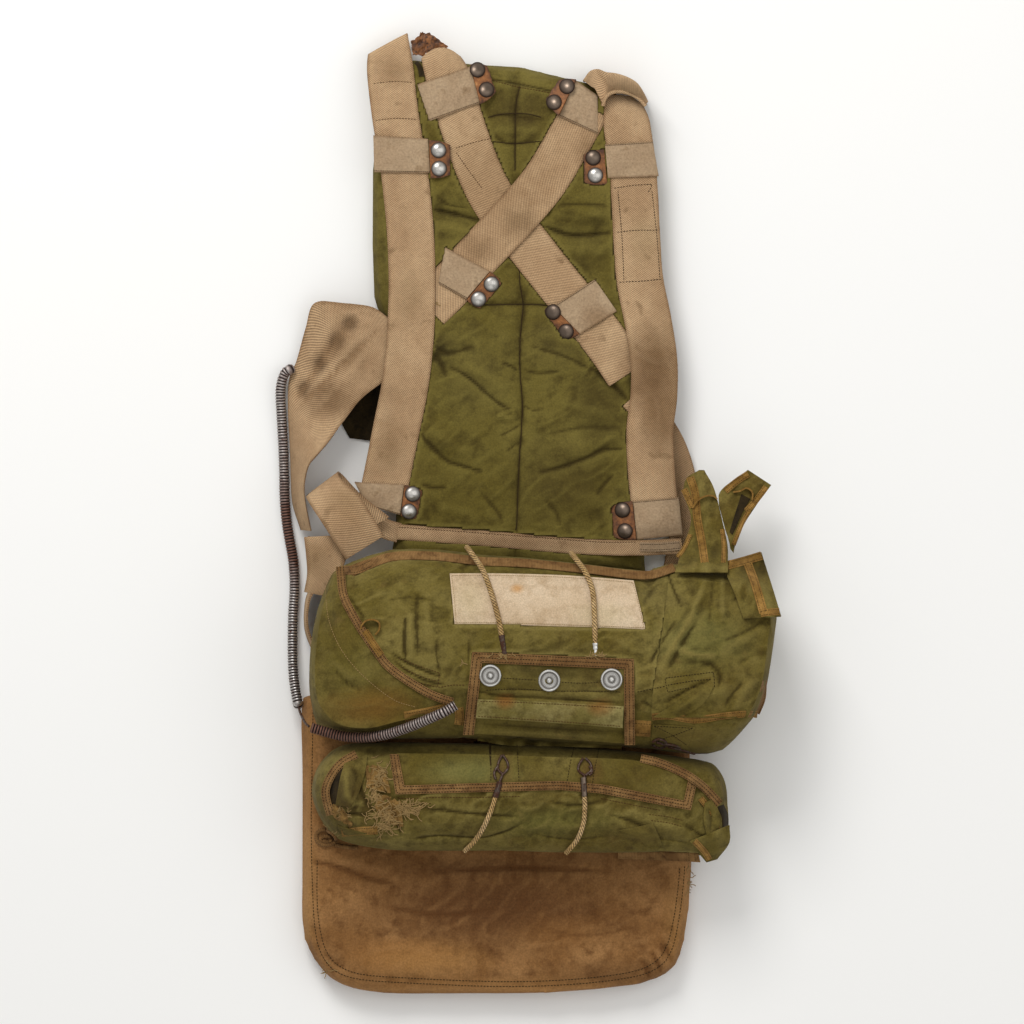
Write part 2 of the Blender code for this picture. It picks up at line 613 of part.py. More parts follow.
def waist_belt():
    left, right = edges_of(rail(WAIST_BELT, 3), WAIST_BELT_WIDTH)
    draped("waist_belt", net_between(left, right, 3), WEBBING, "webbing", rounds=5, droop=WEBBING_DROOP)


def quilt_net(corners, rows, columns):
    """A net inside four corners given once round."""
    a, b, c, d = [np.array(corner, float) for corner in corners]
    left = np.linspace(a, b, rows)
    right = np.linspace(d, c, rows)
    return net_between(left, right, columns)


def keeper(name):
    draped(name, quilt_net(KEEPERS[name], 7, 4), CANVAS, "webbing", rounds=3)


def stud_dome(name, place, radius, height, sides=10):
    """A domed stud head as a lathe-turned solid whose foot is sunk in the leather."""
    profile = ((1.0, -LEATHER * 0.6), (1.0, height * 0.35), (0.72, height * 0.85))
    angles = np.linspace(0, 2 * math.pi, sides, endpoint=False)
    circle = np.column_stack([np.cos(angles), np.sin(angles)])
    rings = [np.column_stack([circle * radius * part, np.full(sides, rise)]) for part, rise in profile]
    points = np.concatenate(rings + [[[0, 0, height]], [[0, 0, -LEATHER * 0.6]]]) + np.array(place)
    faces = []
    for ring in range(len(profile) - 1):
        for i in range(sides):
            a, b = ring * sides + i, ring * sides + (i + 1) % sides
            faces += [(a, b, b + sides), (a, b + sides, a + sides)]
    last = (len(profile) - 1) * sides
    crown, foot = len(profile) * sides, len(profile) * sides + 1
    for i in range(sides):
        faces += [(last + i, last + (i + 1) % sides, crown), ((i + 1) % sides, i, foot)]
    item = solid(name, points, faces, "nickel", lies=False)
    item.hide_render = True
    item.display_type = "WIRE"
    return item


def leather_tab(name):
    """A leather tab draped on what is below, with its two studs joined to it."""
    *corners, first, second = LEATHER_TABS[name]
    net = quilt_net(corners, 2, 2)
    fine = quilt_net(corners, 6, 6)
    low = ground.lowest_rest(fine)
    fine_columns = np.column_stack([fine.reshape(-1, 2), np.ones(low.size)])
    slope = np.linalg.lstsq(fine_columns, low.ravel(), rcond=None)[0]
    lift = (low.ravel() - fine_columns @ slope).max()
    under = np.dstack([net, net @ slope[:2] + slope[2] + lift])
    item = two_faced(name, under + np.array([0, 0, LEATHER]), under, "leather")
    for number, (x, y) in enumerate((first, second)):
        z = slope @ (x, y, 1) + lift + LEATHER
        dome = stud_dome(f"{name}_dome_{number}", (x, y, z), STUD_RADIUS, STUD_HEIGHT)
        ground.stamp(np.array([[x - 5, y - 5, z + STUD_HEIGHT], [x + 5, y - 5, z + STUD_HEIGHT],
                               [x, y + 6, z + STUD_HEIGHT]]), np.array([[0, 1, 2]]))
        join = item.modifiers.new("stud", "BOOLEAN")
        join.operation = "UNION"
        join.object = dome


# Flaps, tapes and small pieces of the pack

LEFT_FLAP_OUTER = (
    (334, 575), (324, 606), (318, 640), (316, 672), (320, 702), (338, 722), (368, 727), (404, 719), (450, 711))
LEFT_FLAP_INNER = (
    (342, 568), (344, 593), (353, 611), (365, 631), (380, 653), (390, 665), (406, 678), (428, 691), (450, 700))
RIGHT_FLAP_INNER = ((668, 577), (664, 610), (658, 650), (652, 690), (650, 716))
RIGHT_FLAP_OUTER = ((757, 585), (769, 612), (766, 645), (760, 685), (746, 717))
LEFT_FLAP_TAPE = (
    (341, 566), (344, 593), (352, 611), (364, 631), (380, 654), (389, 665), (406, 678), (431, 693), (453, 701))
TOP_TAPE_OUTER = (
    (349, 566, 0), (369, 558.5, 0), (395, 551.5, 0), (436, 551.5, 0), (480, 556.5, 0), (525, 558.5, 0),
    (587, 564.5, 0), (644, 570.5, 0), (672, 563, 0))
TOP_TAPE_INNER = (
    (354, 576, 0), (374, 567, 0), (398, 560, 0), (436, 560, 0), (480, 565, 0), (525, 567, 0),
    (587, 573, 0), (644, 579, 0), (676, 571, 0))
PATCH_TOP = ((450, 573), (500, 573), (567, 575), (633, 580))
PATCH_BOTTOM = ((455, 624), (500, 624), (567, 626), (645, 629))
CLOSURE_LEFT = ((474, 653), (471, 680), (468, 707), (465, 732))
CLOSURE_RIGHT = ((631, 660), (632, 688), (632.5, 716), (633, 743))
CLOSURE_TAPE_OUTER = ((463, 734), (472.5, 651), (633, 658), (634.5, 744))
CLOSURE_TAPE_INNER = ((474, 734), (482.5, 662), (623, 668), (624, 744))
CLOSURE_STRIP_TOP = ((478, 698), (525, 699.5), (575, 702), (623, 705))
CLOSURE_STRIP_BOTTOM = ((476, 717), (525, 720), (575, 723.5), (622, 727))
POCKET_TOP = ((397, 752), (470, 753), (560, 756), (640, 760), (688, 777))
POCKET_BOTTOM = ((398, 791), (470, 789), (560, 787), (620, 795), (685, 806))
POCKET_TAPE_OUTER = ((390, 753), (396, 793), (470, 791), (560, 788.5), (600, 792), (690, 809), (697, 778))
POCKET_TAPE_INNER = ((399, 753), (405, 784), (470, 782), (560, 779.5), (602, 783), (683, 799), (688, 776))
LOWER_LEFT_TAPE = ((357, 753), (342, 762), (331, 776), (326, 792), (331, 814))
LOWER_RIGHT_TAPE = ((640, 757), (660, 762), (685, 773), (703, 786), (719, 803))
HEM_OUTER = ((618, 859), (650, 860), (680, 861), (700, 862))
HEM_INNER = ((618, 851), (650, 851.5), (680, 852), (698, 853))
EARS = {  # name: left edge, right edge, each x, y, height
    "ear_left": (
        ((699, 471, 50), (681, 489, 54), (690, 520, 64), (677, 554, 76), (681, 583, 0)),
        ((705, 471, 50), (715, 494, 54), (714, 530, 66), (711, 560, 80), (713, 589, 0))),
    "ear_middle": (
        ((747, 471, 54), (723, 491, 56), (726, 520, 62), (726, 548, 72), (722, 576, 0)),
        ((771, 486, 54), (760, 502, 56), (746, 524, 62), (741, 549, 72), (738, 580, 0))),
    "ear_right": (
        ((722, 567, 84), (733, 592, 96), (742, 618, 98)),
        ((761, 552, 76), (771, 585, 76), (780, 616, 76))),
    "corner_flap": (
        ((689, 840, 60), (697, 851, 56), (706, 862, 50)),
        ((729, 824, 58), (729, 842, 54), (717, 859, 50))),
}
CLOSURE_STUDS = ((490.5, 674.5), (549, 679.5), (611, 678.3))
CLOSURE_STUD_RADIUS = 10.5
CLOSURE_STUD_PROFILE = (  # part of the radius, height
    (0.86, 0.0), (1.0, 0.8), (1.0, 2.2), (0.84, 3.4), (0.7, 2.2), (0.3, 2.0), (0.24, 4.2))
HOOKS = {  # name: left edge, right edge
    "hook_lower_left": (((497, 754), (493, 790)), ((509, 755), (501, 791))),
    "hook_lower_right": (((578, 755), (580, 789)), ((590, 755), (588, 789))),
}
HOOK_THICK = 3.0
ELASTICS = {  # name: diameter, then x, y along it
    "elastic_upper_left": (UPPER_ELASTIC_DIAMETER,
                           ((467, 547), (476, 559), (484, 572), (492, 594), (499, 620), (503, 643))),
    "elastic_upper_right": (UPPER_ELASTIC_DIAMETER,
                            ((571, 553), (578, 562), (585, 572), (592, 590), (594, 618), (594.5, 643))),
    "elastic_lower_left": (LOWER_ELASTIC_DIAMETER, ((496, 794), (491.5, 808), (484, 825), (476, 838), (465, 850))),
    "elastic_lower_right": (LOWER_ELASTIC_DIAMETER,
                            ((584, 793), (584.5, 806), (583, 822), (577, 838), (566, 852))),
}
SIDE_HOSE = (
    (291, 368), (284, 374), (280, 390), (281, 417), (282.5, 444), (283.5, 470), (284, 497), (286, 521), (289, 540),
    (292.5, 560), (294, 587), (292.5, 614), (292, 640), (292.5, 667), (294.5, 687), (298, 706))
FRONT_HOSE = (
    (312, 727), (326, 731), (344, 735.5), (364, 736.5), (384, 734), (404, 728), (424, 720), (444, 711), (456, 704))
CABLE_CLEAR = 0.8
CABLE_REACH = 7.0


def tape(name, centre, kind="tape"):
    left, right = edges_of(rail(centre, 3), TAPE_WIDTH)
    draped(name, net_between(left, right, 3), TAPE, kind, rounds=2)


def sheet(name, left, right, steps, columns, thick, kind, smooth=True, rounds=4):
    """A flat-cut piece between two edges, laid on what is below."""
    left, right = rail(left, steps, smooth), rail(right, steps, smooth)
    draped(name, net_between(left[:, :2], right[:, :2], columns), thick, kind, rounds)


def ear(name):
    """A stiffened cloth ear that stands off the pack at its own heights."""
    left, right = [rail(edge, 3) for edge in EARS[name]]
    net = net_between(left, right, 5)
    draped(name, net[..., :2], CANVAS, "pack", rounds=1, wanted=net[..., 2])


def closure_stud(number, place, sides=16):
    """A press stud set square on the flap below it."""
    x, y = place
    reach = int(CLOSURE_STUD_RADIUS) + 1
    offsets = np.array([(i, j) for i in range(-reach, reach + 1) for j in range(-reach, reach + 1)])
    offsets = offsets[np.hypot(*offsets.T) <= CLOSURE_STUD_RADIUS * 0.9]
    below = ground.around()[(offsets[:, 1] + int(y)) * SQUARES, (offsets[:, 0] + int(x)) * SQUARES]
    columns = np.column_stack([offsets, np.ones(len(offsets))])
    slope = np.linalg.lstsq(columns, below, rcond=None)[0]
    rise = slope[2] + (below - columns @ slope).max() + GAP
    angles = np.linspace(0, 2 * math.pi, sides, endpoint=False)
    circle = np.column_stack([np.cos(angles), np.sin(angles)]) * CLOSURE_STUD_RADIUS
    rings = []
    for part, height in CLOSURE_STUD_PROFILE:
        flat = circle * part
        rings.append(np.column_stack([flat + place, rise + flat @ slope[:2] + height]))
    points = np.concatenate(rings + [[[x, y, rise + CLOSURE_STUD_PROFILE[-1][1]]], [[x, y, rise]]])
    faces = []
    for ring in range(len(rings) - 1):
        for i in range(sides):
            a, b = ring * sides + i, ring * sides + (i + 1) % sides
            faces += [(a, b, b + sides), (a, b + sides, a + sides)]
    last = (len(rings) - 1) * sides
    for i in range(sides):
        faces += [(last + i, last + (i + 1) % sides, len(rings) * sides), ((i + 1) % sides, i, len(rings) * sides + 1)]
    solid(f"closure_stud_{number}", points, faces, "nickel")


def build_harness_on_pad():
    strap("strap_behind")
    strap("cross_strap_left")
    keeper("keeper_top_left")
    leather_tab("tab_top_left")
    strap("cross_strap_right")
    for place in ("top_right", "middle_left", "middle_right"):
        keeper(f"keeper_{place}")
        leather_tab(f"tab_{place}")
    ribbon("side_band_back", rail(SIDE_BAND_BACK_OUTER, 2), rail(SIDE_BAND_BACK_INNER, 2), 4, CANVAS, "webbing")
    ribbon("side_band", rail(SIDE_BAND_OUTER, 2), rail(SIDE_BAND_INNER, 2), 6, WEBBING, "webbing")
    strap("shoulder_strap_left")
    strap("shoulder_strap_right")
    for place in ("side_left", "side_right", "low_left", "low_right"):
        keeper(f"keeper_{place}")
        leather_tab(f"tab_{place}")
    ribbon("shoulder_cap", rail(SHOULDER_CAP_OUTER, 2), rail(SHOULDER_CAP_INNER, 2), 5, WEBBING, "webbing")
    waist_belt()
    ribbon("hip_loop", rail(HIP_LOOP_FOOT, 2), rail(HIP_LOOP_HEAD, 2), 5, WEBBING, "webbing")
    ribbon("side_loop", rail(SIDE_LOOP_LEFT, 3), rail(SIDE_LOOP_RIGHT, 3), 5, WEBBING, "webbing")


def build_pack():
    roll("pack_upper", (UPPER_TOP, UPPER_BOTTOM, UPPER_LEFT, UPPER_RIGHT), UPPER_ROLL_CROWN, UPPER_FOLDS, 2.6)
    roll("pack_lower", (LOWER_TOP, LOWER_BOTTOM, LOWER_LEFT, LOWER_RIGHT), LOWER_ROLL_CROWN, LOWER_FOLDS, 2.8)
    sheet("left_end_flap", LEFT_FLAP_OUTER, LEFT_FLAP_INNER, 2, 6, CANVAS, "pack")
    sheet("right_end_flap", RIGHT_FLAP_INNER, RIGHT_FLAP_OUTER, 3, 9, CANVAS, "pack")
    sheet("pack_top_tape", TOP_TAPE_OUTER, TOP_TAPE_INNER, 3, 3, TAPE, "tape", rounds=2)
    tape("left_flap_tape", LEFT_FLAP_TAPE)
    sheet("cloth_patch", PATCH_TOP, PATCH_BOTTOM, 4, 6, PATCH_CLOTH, "patch")
    sheet("pocket_flap", POCKET_TOP, POCKET_BOTTOM, 5, 5, CANVAS, "pack")
    sheet("pocket_tape", POCKET_TAPE_OUTER, POCKET_TAPE_INNER, 4, 3, TAPE, "tape", smooth=False, rounds=1)
    tape("lower_left_tape", LOWER_LEFT_TAPE)
    tape("lower_right_tape", LOWER_RIGHT_TAPE)
    sheet("hem_strip", HEM_OUTER, HEM_INNER, 3, 3, CANVAS, "tape")
    sheet("closure_flap", CLOSURE_LEFT, CLOSURE_RIGHT, 3, 11, CANVAS, "pack", rounds=8)
    sheet("closure_tape", CLOSURE_TAPE_OUTER, CLOSURE_TAPE_INNER, 8, 3, TAPE, "tape", smooth=False, rounds=1)
    sheet("closure_strip", CLOSURE_STRIP_TOP, CLOSURE_STRIP_BOTTOM, 4, 4, CANVAS, "pack")
    for number, place in enumerate(CLOSURE_STUDS, 1):
        closure_stud(number, place)
    for name in EARS:
        ear(name)


def build_cords():
    for name, (left, right) in HOOKS.items():
        sheet(name, left, right, 4, 3, HOOK_THICK, "steel", rounds=2)
    for name, (diameter, route) in ELASTICS.items():
        cord(name, route, diameter, "elastic", spacing=1.6, droop=ELASTIC_DROOP, rounds=2)
    side = cord("side_hose", SIDE_HOSE, HOSE_DIAMETER, "steel", spacing=1.2, droop=HOSE_DROOP, rounds=12)
    front = cord("front_hose", FRONT_HOSE, HOSE_DIAMETER, "steel", spacing=1.2, droop=HOSE_END_DROOP, rounds=12)
    cable_between(side[::-1], front)


def cable_between(first, second):
    """The thin cable that bridges the open ends of two hoses, out of one and into the other."""
    ends = []
    for hose in (first, second):
        out = hose[0] - hose[1]
        out /= np.linalg.norm(out)
        ends.append((hose[0] + out * CABLE_CLEAR, hose[0] + out * CABLE_REACH))
    (start, leave), (end, arrive) = ends
    t = np.linspace(0, 1, 11)[:, None]
    bend = (1 - t) ** 3 * start + 3 * t * (1 - t) ** 2 * leave + 3 * t * t * (1 - t) * arrive + t ** 3 * end
    tube("ripcord_cable", bend, CABLE_DIAMETER, "steel")


def main():
    for item in list(bpy.data.objects):
        bpy.data.objects.remove(item)
    back_pad()
    seat_cushion()
    build_harness_on_pad()
    build_pack()
    build_cords()


main()
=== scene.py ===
"""Looks of a packed seat parachute with its harness and quilted back pad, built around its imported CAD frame."""

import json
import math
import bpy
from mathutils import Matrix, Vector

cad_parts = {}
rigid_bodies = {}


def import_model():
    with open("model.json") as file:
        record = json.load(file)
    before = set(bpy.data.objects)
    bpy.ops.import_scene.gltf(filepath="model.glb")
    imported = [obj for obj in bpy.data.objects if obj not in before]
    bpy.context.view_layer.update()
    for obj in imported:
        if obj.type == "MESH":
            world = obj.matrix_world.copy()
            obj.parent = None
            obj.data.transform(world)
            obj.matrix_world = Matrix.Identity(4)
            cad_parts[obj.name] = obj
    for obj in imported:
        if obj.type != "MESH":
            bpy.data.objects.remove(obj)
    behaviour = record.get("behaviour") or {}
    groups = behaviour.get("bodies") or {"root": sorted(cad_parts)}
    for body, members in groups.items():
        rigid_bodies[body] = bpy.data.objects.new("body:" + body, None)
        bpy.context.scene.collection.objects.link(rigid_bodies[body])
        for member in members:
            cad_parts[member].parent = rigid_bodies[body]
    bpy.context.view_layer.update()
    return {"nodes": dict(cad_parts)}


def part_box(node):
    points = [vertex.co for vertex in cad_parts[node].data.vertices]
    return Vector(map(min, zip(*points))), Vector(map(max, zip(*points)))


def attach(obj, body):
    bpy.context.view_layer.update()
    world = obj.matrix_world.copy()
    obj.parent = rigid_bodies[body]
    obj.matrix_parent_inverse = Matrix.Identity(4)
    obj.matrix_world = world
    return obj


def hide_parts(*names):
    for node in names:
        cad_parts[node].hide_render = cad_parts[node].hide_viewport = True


bl_info = {
    "name": "Packed seat parachute",
    "version": (1, 0, 0),
    "blender": (4, 5, 0),
    "location": "3D View > Sidebar > Parachute",
    "description": "Dresses the packed seat parachute: pack, harness, back pad, cushion, hoses and fittings",
    "category": "Object",
}

import bmesh
import bpy
import numpy as np
from mathutils import Vector
from mathutils.bvhtree import BVHTree

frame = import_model()
bpy.ops.object.select_all(action="DESELECT")

MM = 0.001
SHEET_MIDDLE = (534.0, 513.5)
SEAM, POLE = 1e-7, 2e-6  # metres: vertices nearer than this are one, along a tube's seam and at a stud's middle
SETTLE_FRAMES = 20  # how long the cloth of a filled piece swells
NETS = {}
CORD_LINES = {}


# Places on the sheet: x to the right, y down it, z up from the table, in millimetres

def world(points):
    """Sheet places as places in metres."""
    points = np.asarray(points, float)
    x = points[..., 0] - SHEET_MIDDLE[0]
    y = SHEET_MIDDLE[1] - points[..., 1]
    return np.stack([x, y, points[..., 2]], axis=-1) * MM


def sheet_places(places):
    """Places in metres as sheet places."""
    places = np.asarray(places, float) / MM
    return np.stack([places[..., 0] + SHEET_MIDDLE[0], SHEET_MIDDLE[1] - places[..., 1], places[..., 2]], axis=-1)


def marks(places):
    """Places of a table as numbers. A run of places is one text there, such as "10,20 30,40"."""
    run = places if isinstance(places, str) else places[0]
    return np.array([spot.split(",") for spot in run.split()] if isinstance(run, str) else places, float)


def between(line, spots, places):
    """Places between those of a line, for numbers that grow along it."""
    return np.column_stack([np.interp(places, spots, axis) for axis in line.T])


def paced(line, count):
    """Places on a rail at even steps of its own counting, so that both rails of a net keep in step."""
    return between(line, np.arange(len(line)), np.linspace(0, len(line) - 1, count))


def rail(points, steps, smooth=True):
    """Places along an edge: every span between two given points is cut into the same number of steps."""
    points = marks(points)
    if not smooth:
        return paced(points, (len(points) - 1) * steps + 1)
    ends = np.vstack([2 * points[0] - points[1], points, 2 * points[-1] - points[-2]])
    curve = [points[0]]
    for a, b, c, d in zip(ends, ends[1:], ends[2:], ends[3:]):
        for step in range(1, steps + 1):
            t = step / steps
            bend = (2 * a - 5 * b + 4 * c - d) * t * t + (3 * b - a - 3 * c + d) * t ** 3
            curve.append(0.5 * (2 * b + (c - a) * t + bend))
    return np.array(curve)


def run_of(line):
    """Distance along a line at each of its places."""
    return np.concatenate([[0], np.cumsum(np.linalg.norm(np.diff(line, axis=0), axis=1))])


def spread(line, fractions):
    """Places on a line at the given fractions of its length."""
    lengths = run_of(line)
    return between(line, lengths, np.asarray(fractions) * lengths[-1])


def edges_of(centre, width):
    """Both edges of a strap whose middle runs along a line."""
    run = np.gradient(centre[:, :2], axis=0)
    run /= np.linalg.norm(run, axis=1)[:, None]
    side = np.column_stack([run[:, 1], -run[:, 0]]) * np.asarray(width).reshape(-1, 1) / 2
    left, right = centre.copy(), centre.copy()
    left[:, :2] += side
    right[:, :2] -= side
    return left, right


def net_between(left, right, columns):
    across = np.linspace(0, 1, columns)[None, :, None]
    return left[:, None] * (1 - across) + right[:, None] * across


def creases(x, y, table):
    """Height that a table of folds adds at each place: ridges up and round, creases down and sharp."""
    total = np.zeros(x.shape)
    for height, width, *line in table:
        line = marks(line)
        line = rail(line, 5) if len(line) > 2 else rail(line, 8, smooth=False)
        reach = 4 * width
        near = (x > line[:, 0].min() - reach) & (x < line[:, 0].max() + reach)
        near &= (y > line[:, 1].min() - reach) & (y < line[:, 1].max() + reach)
        px, py = x[near], y[near]
        away, along = np.full(px.shape, 1e9), np.zeros(px.shape)
        lengths = run_of(line)
        for (x1, y1), (x2, y2), start, stop in zip(line, line[1:], lengths, lengths[1:]):
            dx, dy = x2 - x1, y2 - y1
            t = np.clip(((px - x1) * dx + (py - y1) * dy) / (dx * dx + dy * dy + 1e-9), 0, 1)
            gap = np.hypot(px - x1 - t * dx, py - y1 - t * dy)
            closer = gap < away
            away[closer] = gap[closer]
            along[closer] = (start + t * (stop - start))[closer] / lengths[-1]
        ends = np.clip(np.minimum(along, 1 - along) / 0.22, 0, 1) ** 0.7
        shape = np.exp(-(away / width) ** 2) if height > 0 else np.exp(-away / width)
        total[near] += height * shape * ends
    return total


def crumple(x, y, wavelength, turn, amount, seed, spread_angle=50, waves=14):
    """Soft irregular wrinkles, the same on each run, that lie about one way."""
    draw = np.random.default_rng(seed)
    total = np.zeros(x.shape)
    for _ in range(waves):
        angle = math.radians(turn + draw.uniform(-spread_angle, spread_angle))
        k = 2 * math.pi / (wavelength * draw.uniform(0.6, 1.7))
        total += np.sin(k * (x * math.cos(angle) + y * math.sin(angle)) + draw.uniform(0, 2 * math.pi))
    total /= math.sqrt(waves / 2)
    return amount * (0.55 * total + 0.45 * (1 - 2 * np.minimum(np.abs(total), 1)))


# Meshes

def places_of(piece):
    co = np.empty(len(piece.data.vertices) * 3)
    piece.data.vertices.foreach_get("co", co)
    return co.reshape(-1, 3)


def move_to(piece, places):
    piece.data.vertices.foreach_set("co", np.ascontiguousarray(places, float).ravel())
    piece.data.update()


def normals_of(piece):
    normals = np.empty(len(piece.data.vertices) * 3)
    piece.data.vertex_normals.foreach_get("vector", normals)
    return normals.reshape(-1, 3)


def pick(piece):
    """Makes a piece the only selected and the active one, as the operators below need."""
    bpy.ops.object.select_all(action="DESELECT")
    piece.select_set(True)
    bpy.context.view_layer.objects.active = piece


def store(piece, name, values):
    """Keeps a number for each vertex, which a finish reads."""
    layer = piece.data.attributes.new(name, "FLOAT", "POINT")
    layer.data.foreach_set("value", values.astype(np.float32))


def in_edit_mode(piece, tool, **settings):
    """Runs a mesh operator on a whole piece."""
    pick(piece)
    bpy.ops.object.mode_set(mode="EDIT")
    bpy.ops.mesh.select_all(action="SELECT")
    tool(**settings)
    bpy.ops.object.mode_set(mode="OBJECT")


def closed_up(piece, near):
    """Joins a wrapped net at its seam, fills its open ends and turns its faces outwards."""
    mesh = bmesh.new()
    mesh.from_mesh(piece.data)
    bmesh.ops.remove_doubles(mesh, verts=mesh.verts, dist=near)
    bmesh.ops.holes_fill(mesh, edges=[edge for edge in mesh.edges if edge.is_boundary], sides=0)
    bmesh.ops.recalc_face_normals(mesh, faces=mesh.faces)
    mesh.to_mesh(piece.data)
    mesh.free()


def built(name, verts, faces, degrees):
    """A piece from its places in metres and its faces, turned outwards and smoothed."""
    mesh = bpy.data.meshes.new(name)
    mesh.from_pydata(np.concatenate(verts).tolist(), [], faces)
    piece = bpy.data.objects.new(name, mesh)
    bpy.context.scene.collection.objects.link(piece)
    in_edit_mode(piece, bpy.ops.mesh.normals_make_consistent, inside=False)
    smooth_faces(piece, degrees)
    return piece


class Carrier:
    """What a piece is laid on: it gives the highest surface, or the lowest, over a place of the sheet."""

    def __init__(self, *pieces):
        verts, faces = [], []
        for piece in pieces:
            if isinstance(piece, str):
                piece = bpy.data.objects[piece]
            base = len(verts)
            verts += [v.co.copy() for v in piece.data.vertices]
            faces += [[base + i for i in p.vertices] for p in piece.data.polygons]
        self.tree = BVHTree.FromPolygons(verts, faces)

    def cast(self, x, y, down=True):
        start = Vector(((x - SHEET_MIDDLE[0]) * MM, (SHEET_MIDDLE[1] - y) * MM, 1.0 if down else -1.0))
        hit = self.tree.ray_cast(start, Vector((0, 0, -1.0 if down else 1.0)))[0]
        return np.nan if hit is None else hit.z / MM

    def heights(self, net, down=True):
        flat = net[..., :2].reshape(-1, 2)
        return np.array([self.cast(x, y, down) for x, y in flat]).reshape(net.shape[:-1])


def filled_in(heights):
    """Places that a cast missed take the mean of their neighbours."""
    heights = heights.copy()
    while np.isnan(heights).any() and not np.isnan(heights).all():
        padded = np.pad(heights, 1, constant_values=np.nan)
        around = np.stack([padded[:-2, 1:-1], padded[2:, 1:-1], padded[1:-1, :-2], padded[1:-1, 2:]])
        known = ~np.isnan(around)
        mean = np.where(known, around, 0).sum(axis=0) / np.maximum(known.sum(axis=0), 1)
        missing = np.isnan(heights) & (known.sum(axis=0) > 0)
        heights[missing] = mean[missing]
    return heights


def bridged(heights):
    """Heights along a line, with those that a cast missed taken from their neighbours."""
    known = ~np.isnan(heights)
    spots = np.arange(len(heights))
    return np.interp(spots, spots[known], heights[known])


def evened(heights, rounds):
    for _ in range(rounds):
        padded = np.pad(heights, 1, mode="edge")
        near = padded[:-2, 1:-1] + padded[2:, 1:-1] + padded[1:-1, :-2] + padded[1:-1, 2:]
        heights = heights * 0.4 + near * 0.15
    return heights


def laid(net, carrier, lift=0.0, rounds=2, inset=0.012):
    """A net of sheet places with heights from the surface below it."""
    rows, columns = net.shape[:2]
    down = np.clip(np.linspace(0, 1, rows), inset, 1 - inset) * (rows - 1)
    across = np.clip(np.linspace(0, 1, columns), inset, 1 - inset) * (columns - 1)
    inner = net[..., :2]
    lower = np.minimum(down.astype(int), rows - 2)
    part = (down - lower)[:, None, None]
    inner = inner[lower] * (1 - part) + inner[lower + 1] * part
    lower = np.minimum(across.astype(int), columns - 2)
    part = (across - lower)[None, :, None]
    inner = inner[:, lower] * (1 - part) + inner[:, lower + 1] * part
    heights = evened(filled_in(carrier.heights(inner)), rounds)
    return np.dstack([net[..., :2], heights + lift])


def from_net(name, net, rims=False, grime=None):
    """A grid primitive shaped to a net of sheet places, with its UV map in metres across and along."""
    rows, columns = net.shape[:2]
    bpy.ops.object.select_all(action="DESELECT")
    bpy.ops.mesh.primitive_grid_add(x_subdivisions=columns - 1, y_subdivisions=rows - 1, size=1, calc_uvs=True)
    piece = bpy.context.object
    piece.name = piece.data.name = name
    flat = places_of(piece)
    column = np.rint((flat[:, 0] + 0.5) * (columns - 1)).astype(int)
    row = np.rint((0.5 - flat[:, 1]) * (rows - 1)).astype(int)
    move_to(piece, world(net[row, column]))
    wide = run_of(net[rows // 2]) * MM
    long = run_of(net[:, columns // 2]) * MM
    loops = np.empty(len(piece.data.loops), int)
    piece.data.loops.foreach_get("vertex_index", loops)
    uv = np.column_stack([wide[column][loops], long[row][loops]])
    piece.data.uv_layers[0].data.foreach_set("uv", uv.ravel())
    if rims:
        store(piece, "rim", (column == 0) | (column == columns - 1))
    if grime is not None:
        store(piece, "fold", -grime[row, column])
    if normals_of(piece)[:, 2].sum() < 0:
        piece.data.flip_normals()
    return piece


def apply_modifier(piece, kind, **settings):
    pick(piece)
    modifier = piece.modifiers.new(kind.title(), kind)
    for key, value in settings.items():
        setattr(modifier, key, value)
    bpy.ops.object.modifier_apply(modifier=modifier.name)


def smooth_faces(piece, degrees=40):
    pick(piece)
    bpy.ops.object.shade_smooth_by_angle(angle=math.radians(degrees))


def finished(piece, material, slot, *nodes):
    """Gives a piece its finish, lets it ride with the part, and hides the nodes it stands for; its slot is not used.
    """
    piece.data.materials.clear()
    piece.data.materials.append(material)
    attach(piece, "root")
    if nodes:
        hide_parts(*nodes)
    return piece


def cloth_sheet(name, net, thick, material, slot, node=None):
    """A sheet of cloth: its upper face is the net, and its thickness goes down from it."""
    piece = from_net(name, net, rims=True)
    mark_folds(piece, 3, 0.8)
    apply_modifier(piece, "SOLIDIFY", thickness=thick * MM, offset=-1, use_quality_normals=True)
    apply_modifier(piece, "BEVEL", width=thick * 0.22 * MM, segments=2, limit_method="ANGLE",
                   angle_limit=math.radians(50))
    smooth_faces(piece)
    finished(piece, material, slot, *([node] if node else []))
    NETS[name] = net
    return piece


def tube_mesh(name, path, radii, sides=12):
    """A round tube along sheet places with a radius at each, closed at its ends, with its UV map in metres."""
    path = np.asarray(path, float)
    radii = np.broadcast_to(np.asarray(radii, float), len(path))
    run = np.gradient(path, axis=0)
    run /= np.linalg.norm(run, axis=1)[:, None]
    up = np.array([0, 0, 1.0])
    side = np.cross(run, up)
    weak = np.linalg.norm(side, axis=1) < 0.05
    side[weak] = (1, 0, 0)
    side /= np.linalg.norm(side, axis=1)[:, None]
    lift = np.cross(side, run)
    turn = np.linspace(0, 2 * math.pi, sides + 1)
    net = path[:, None] + radii[:, None, None] * (
        np.cos(turn)[None, :, None] * side[:, None] + np.sin(turn)[None, :, None] * lift[:, None])
    piece = from_net(name, net)
    closed_up(piece, SEAM)
    smooth_faces(piece, 50)
    return piece


def joined(name, pieces):
    pick(pieces[0])
    for piece in pieces[1:]:
        piece.select_set(True)
    bpy.ops.object.join()
    pieces[0].name = pieces[0].data.name = name
    return pieces[0]


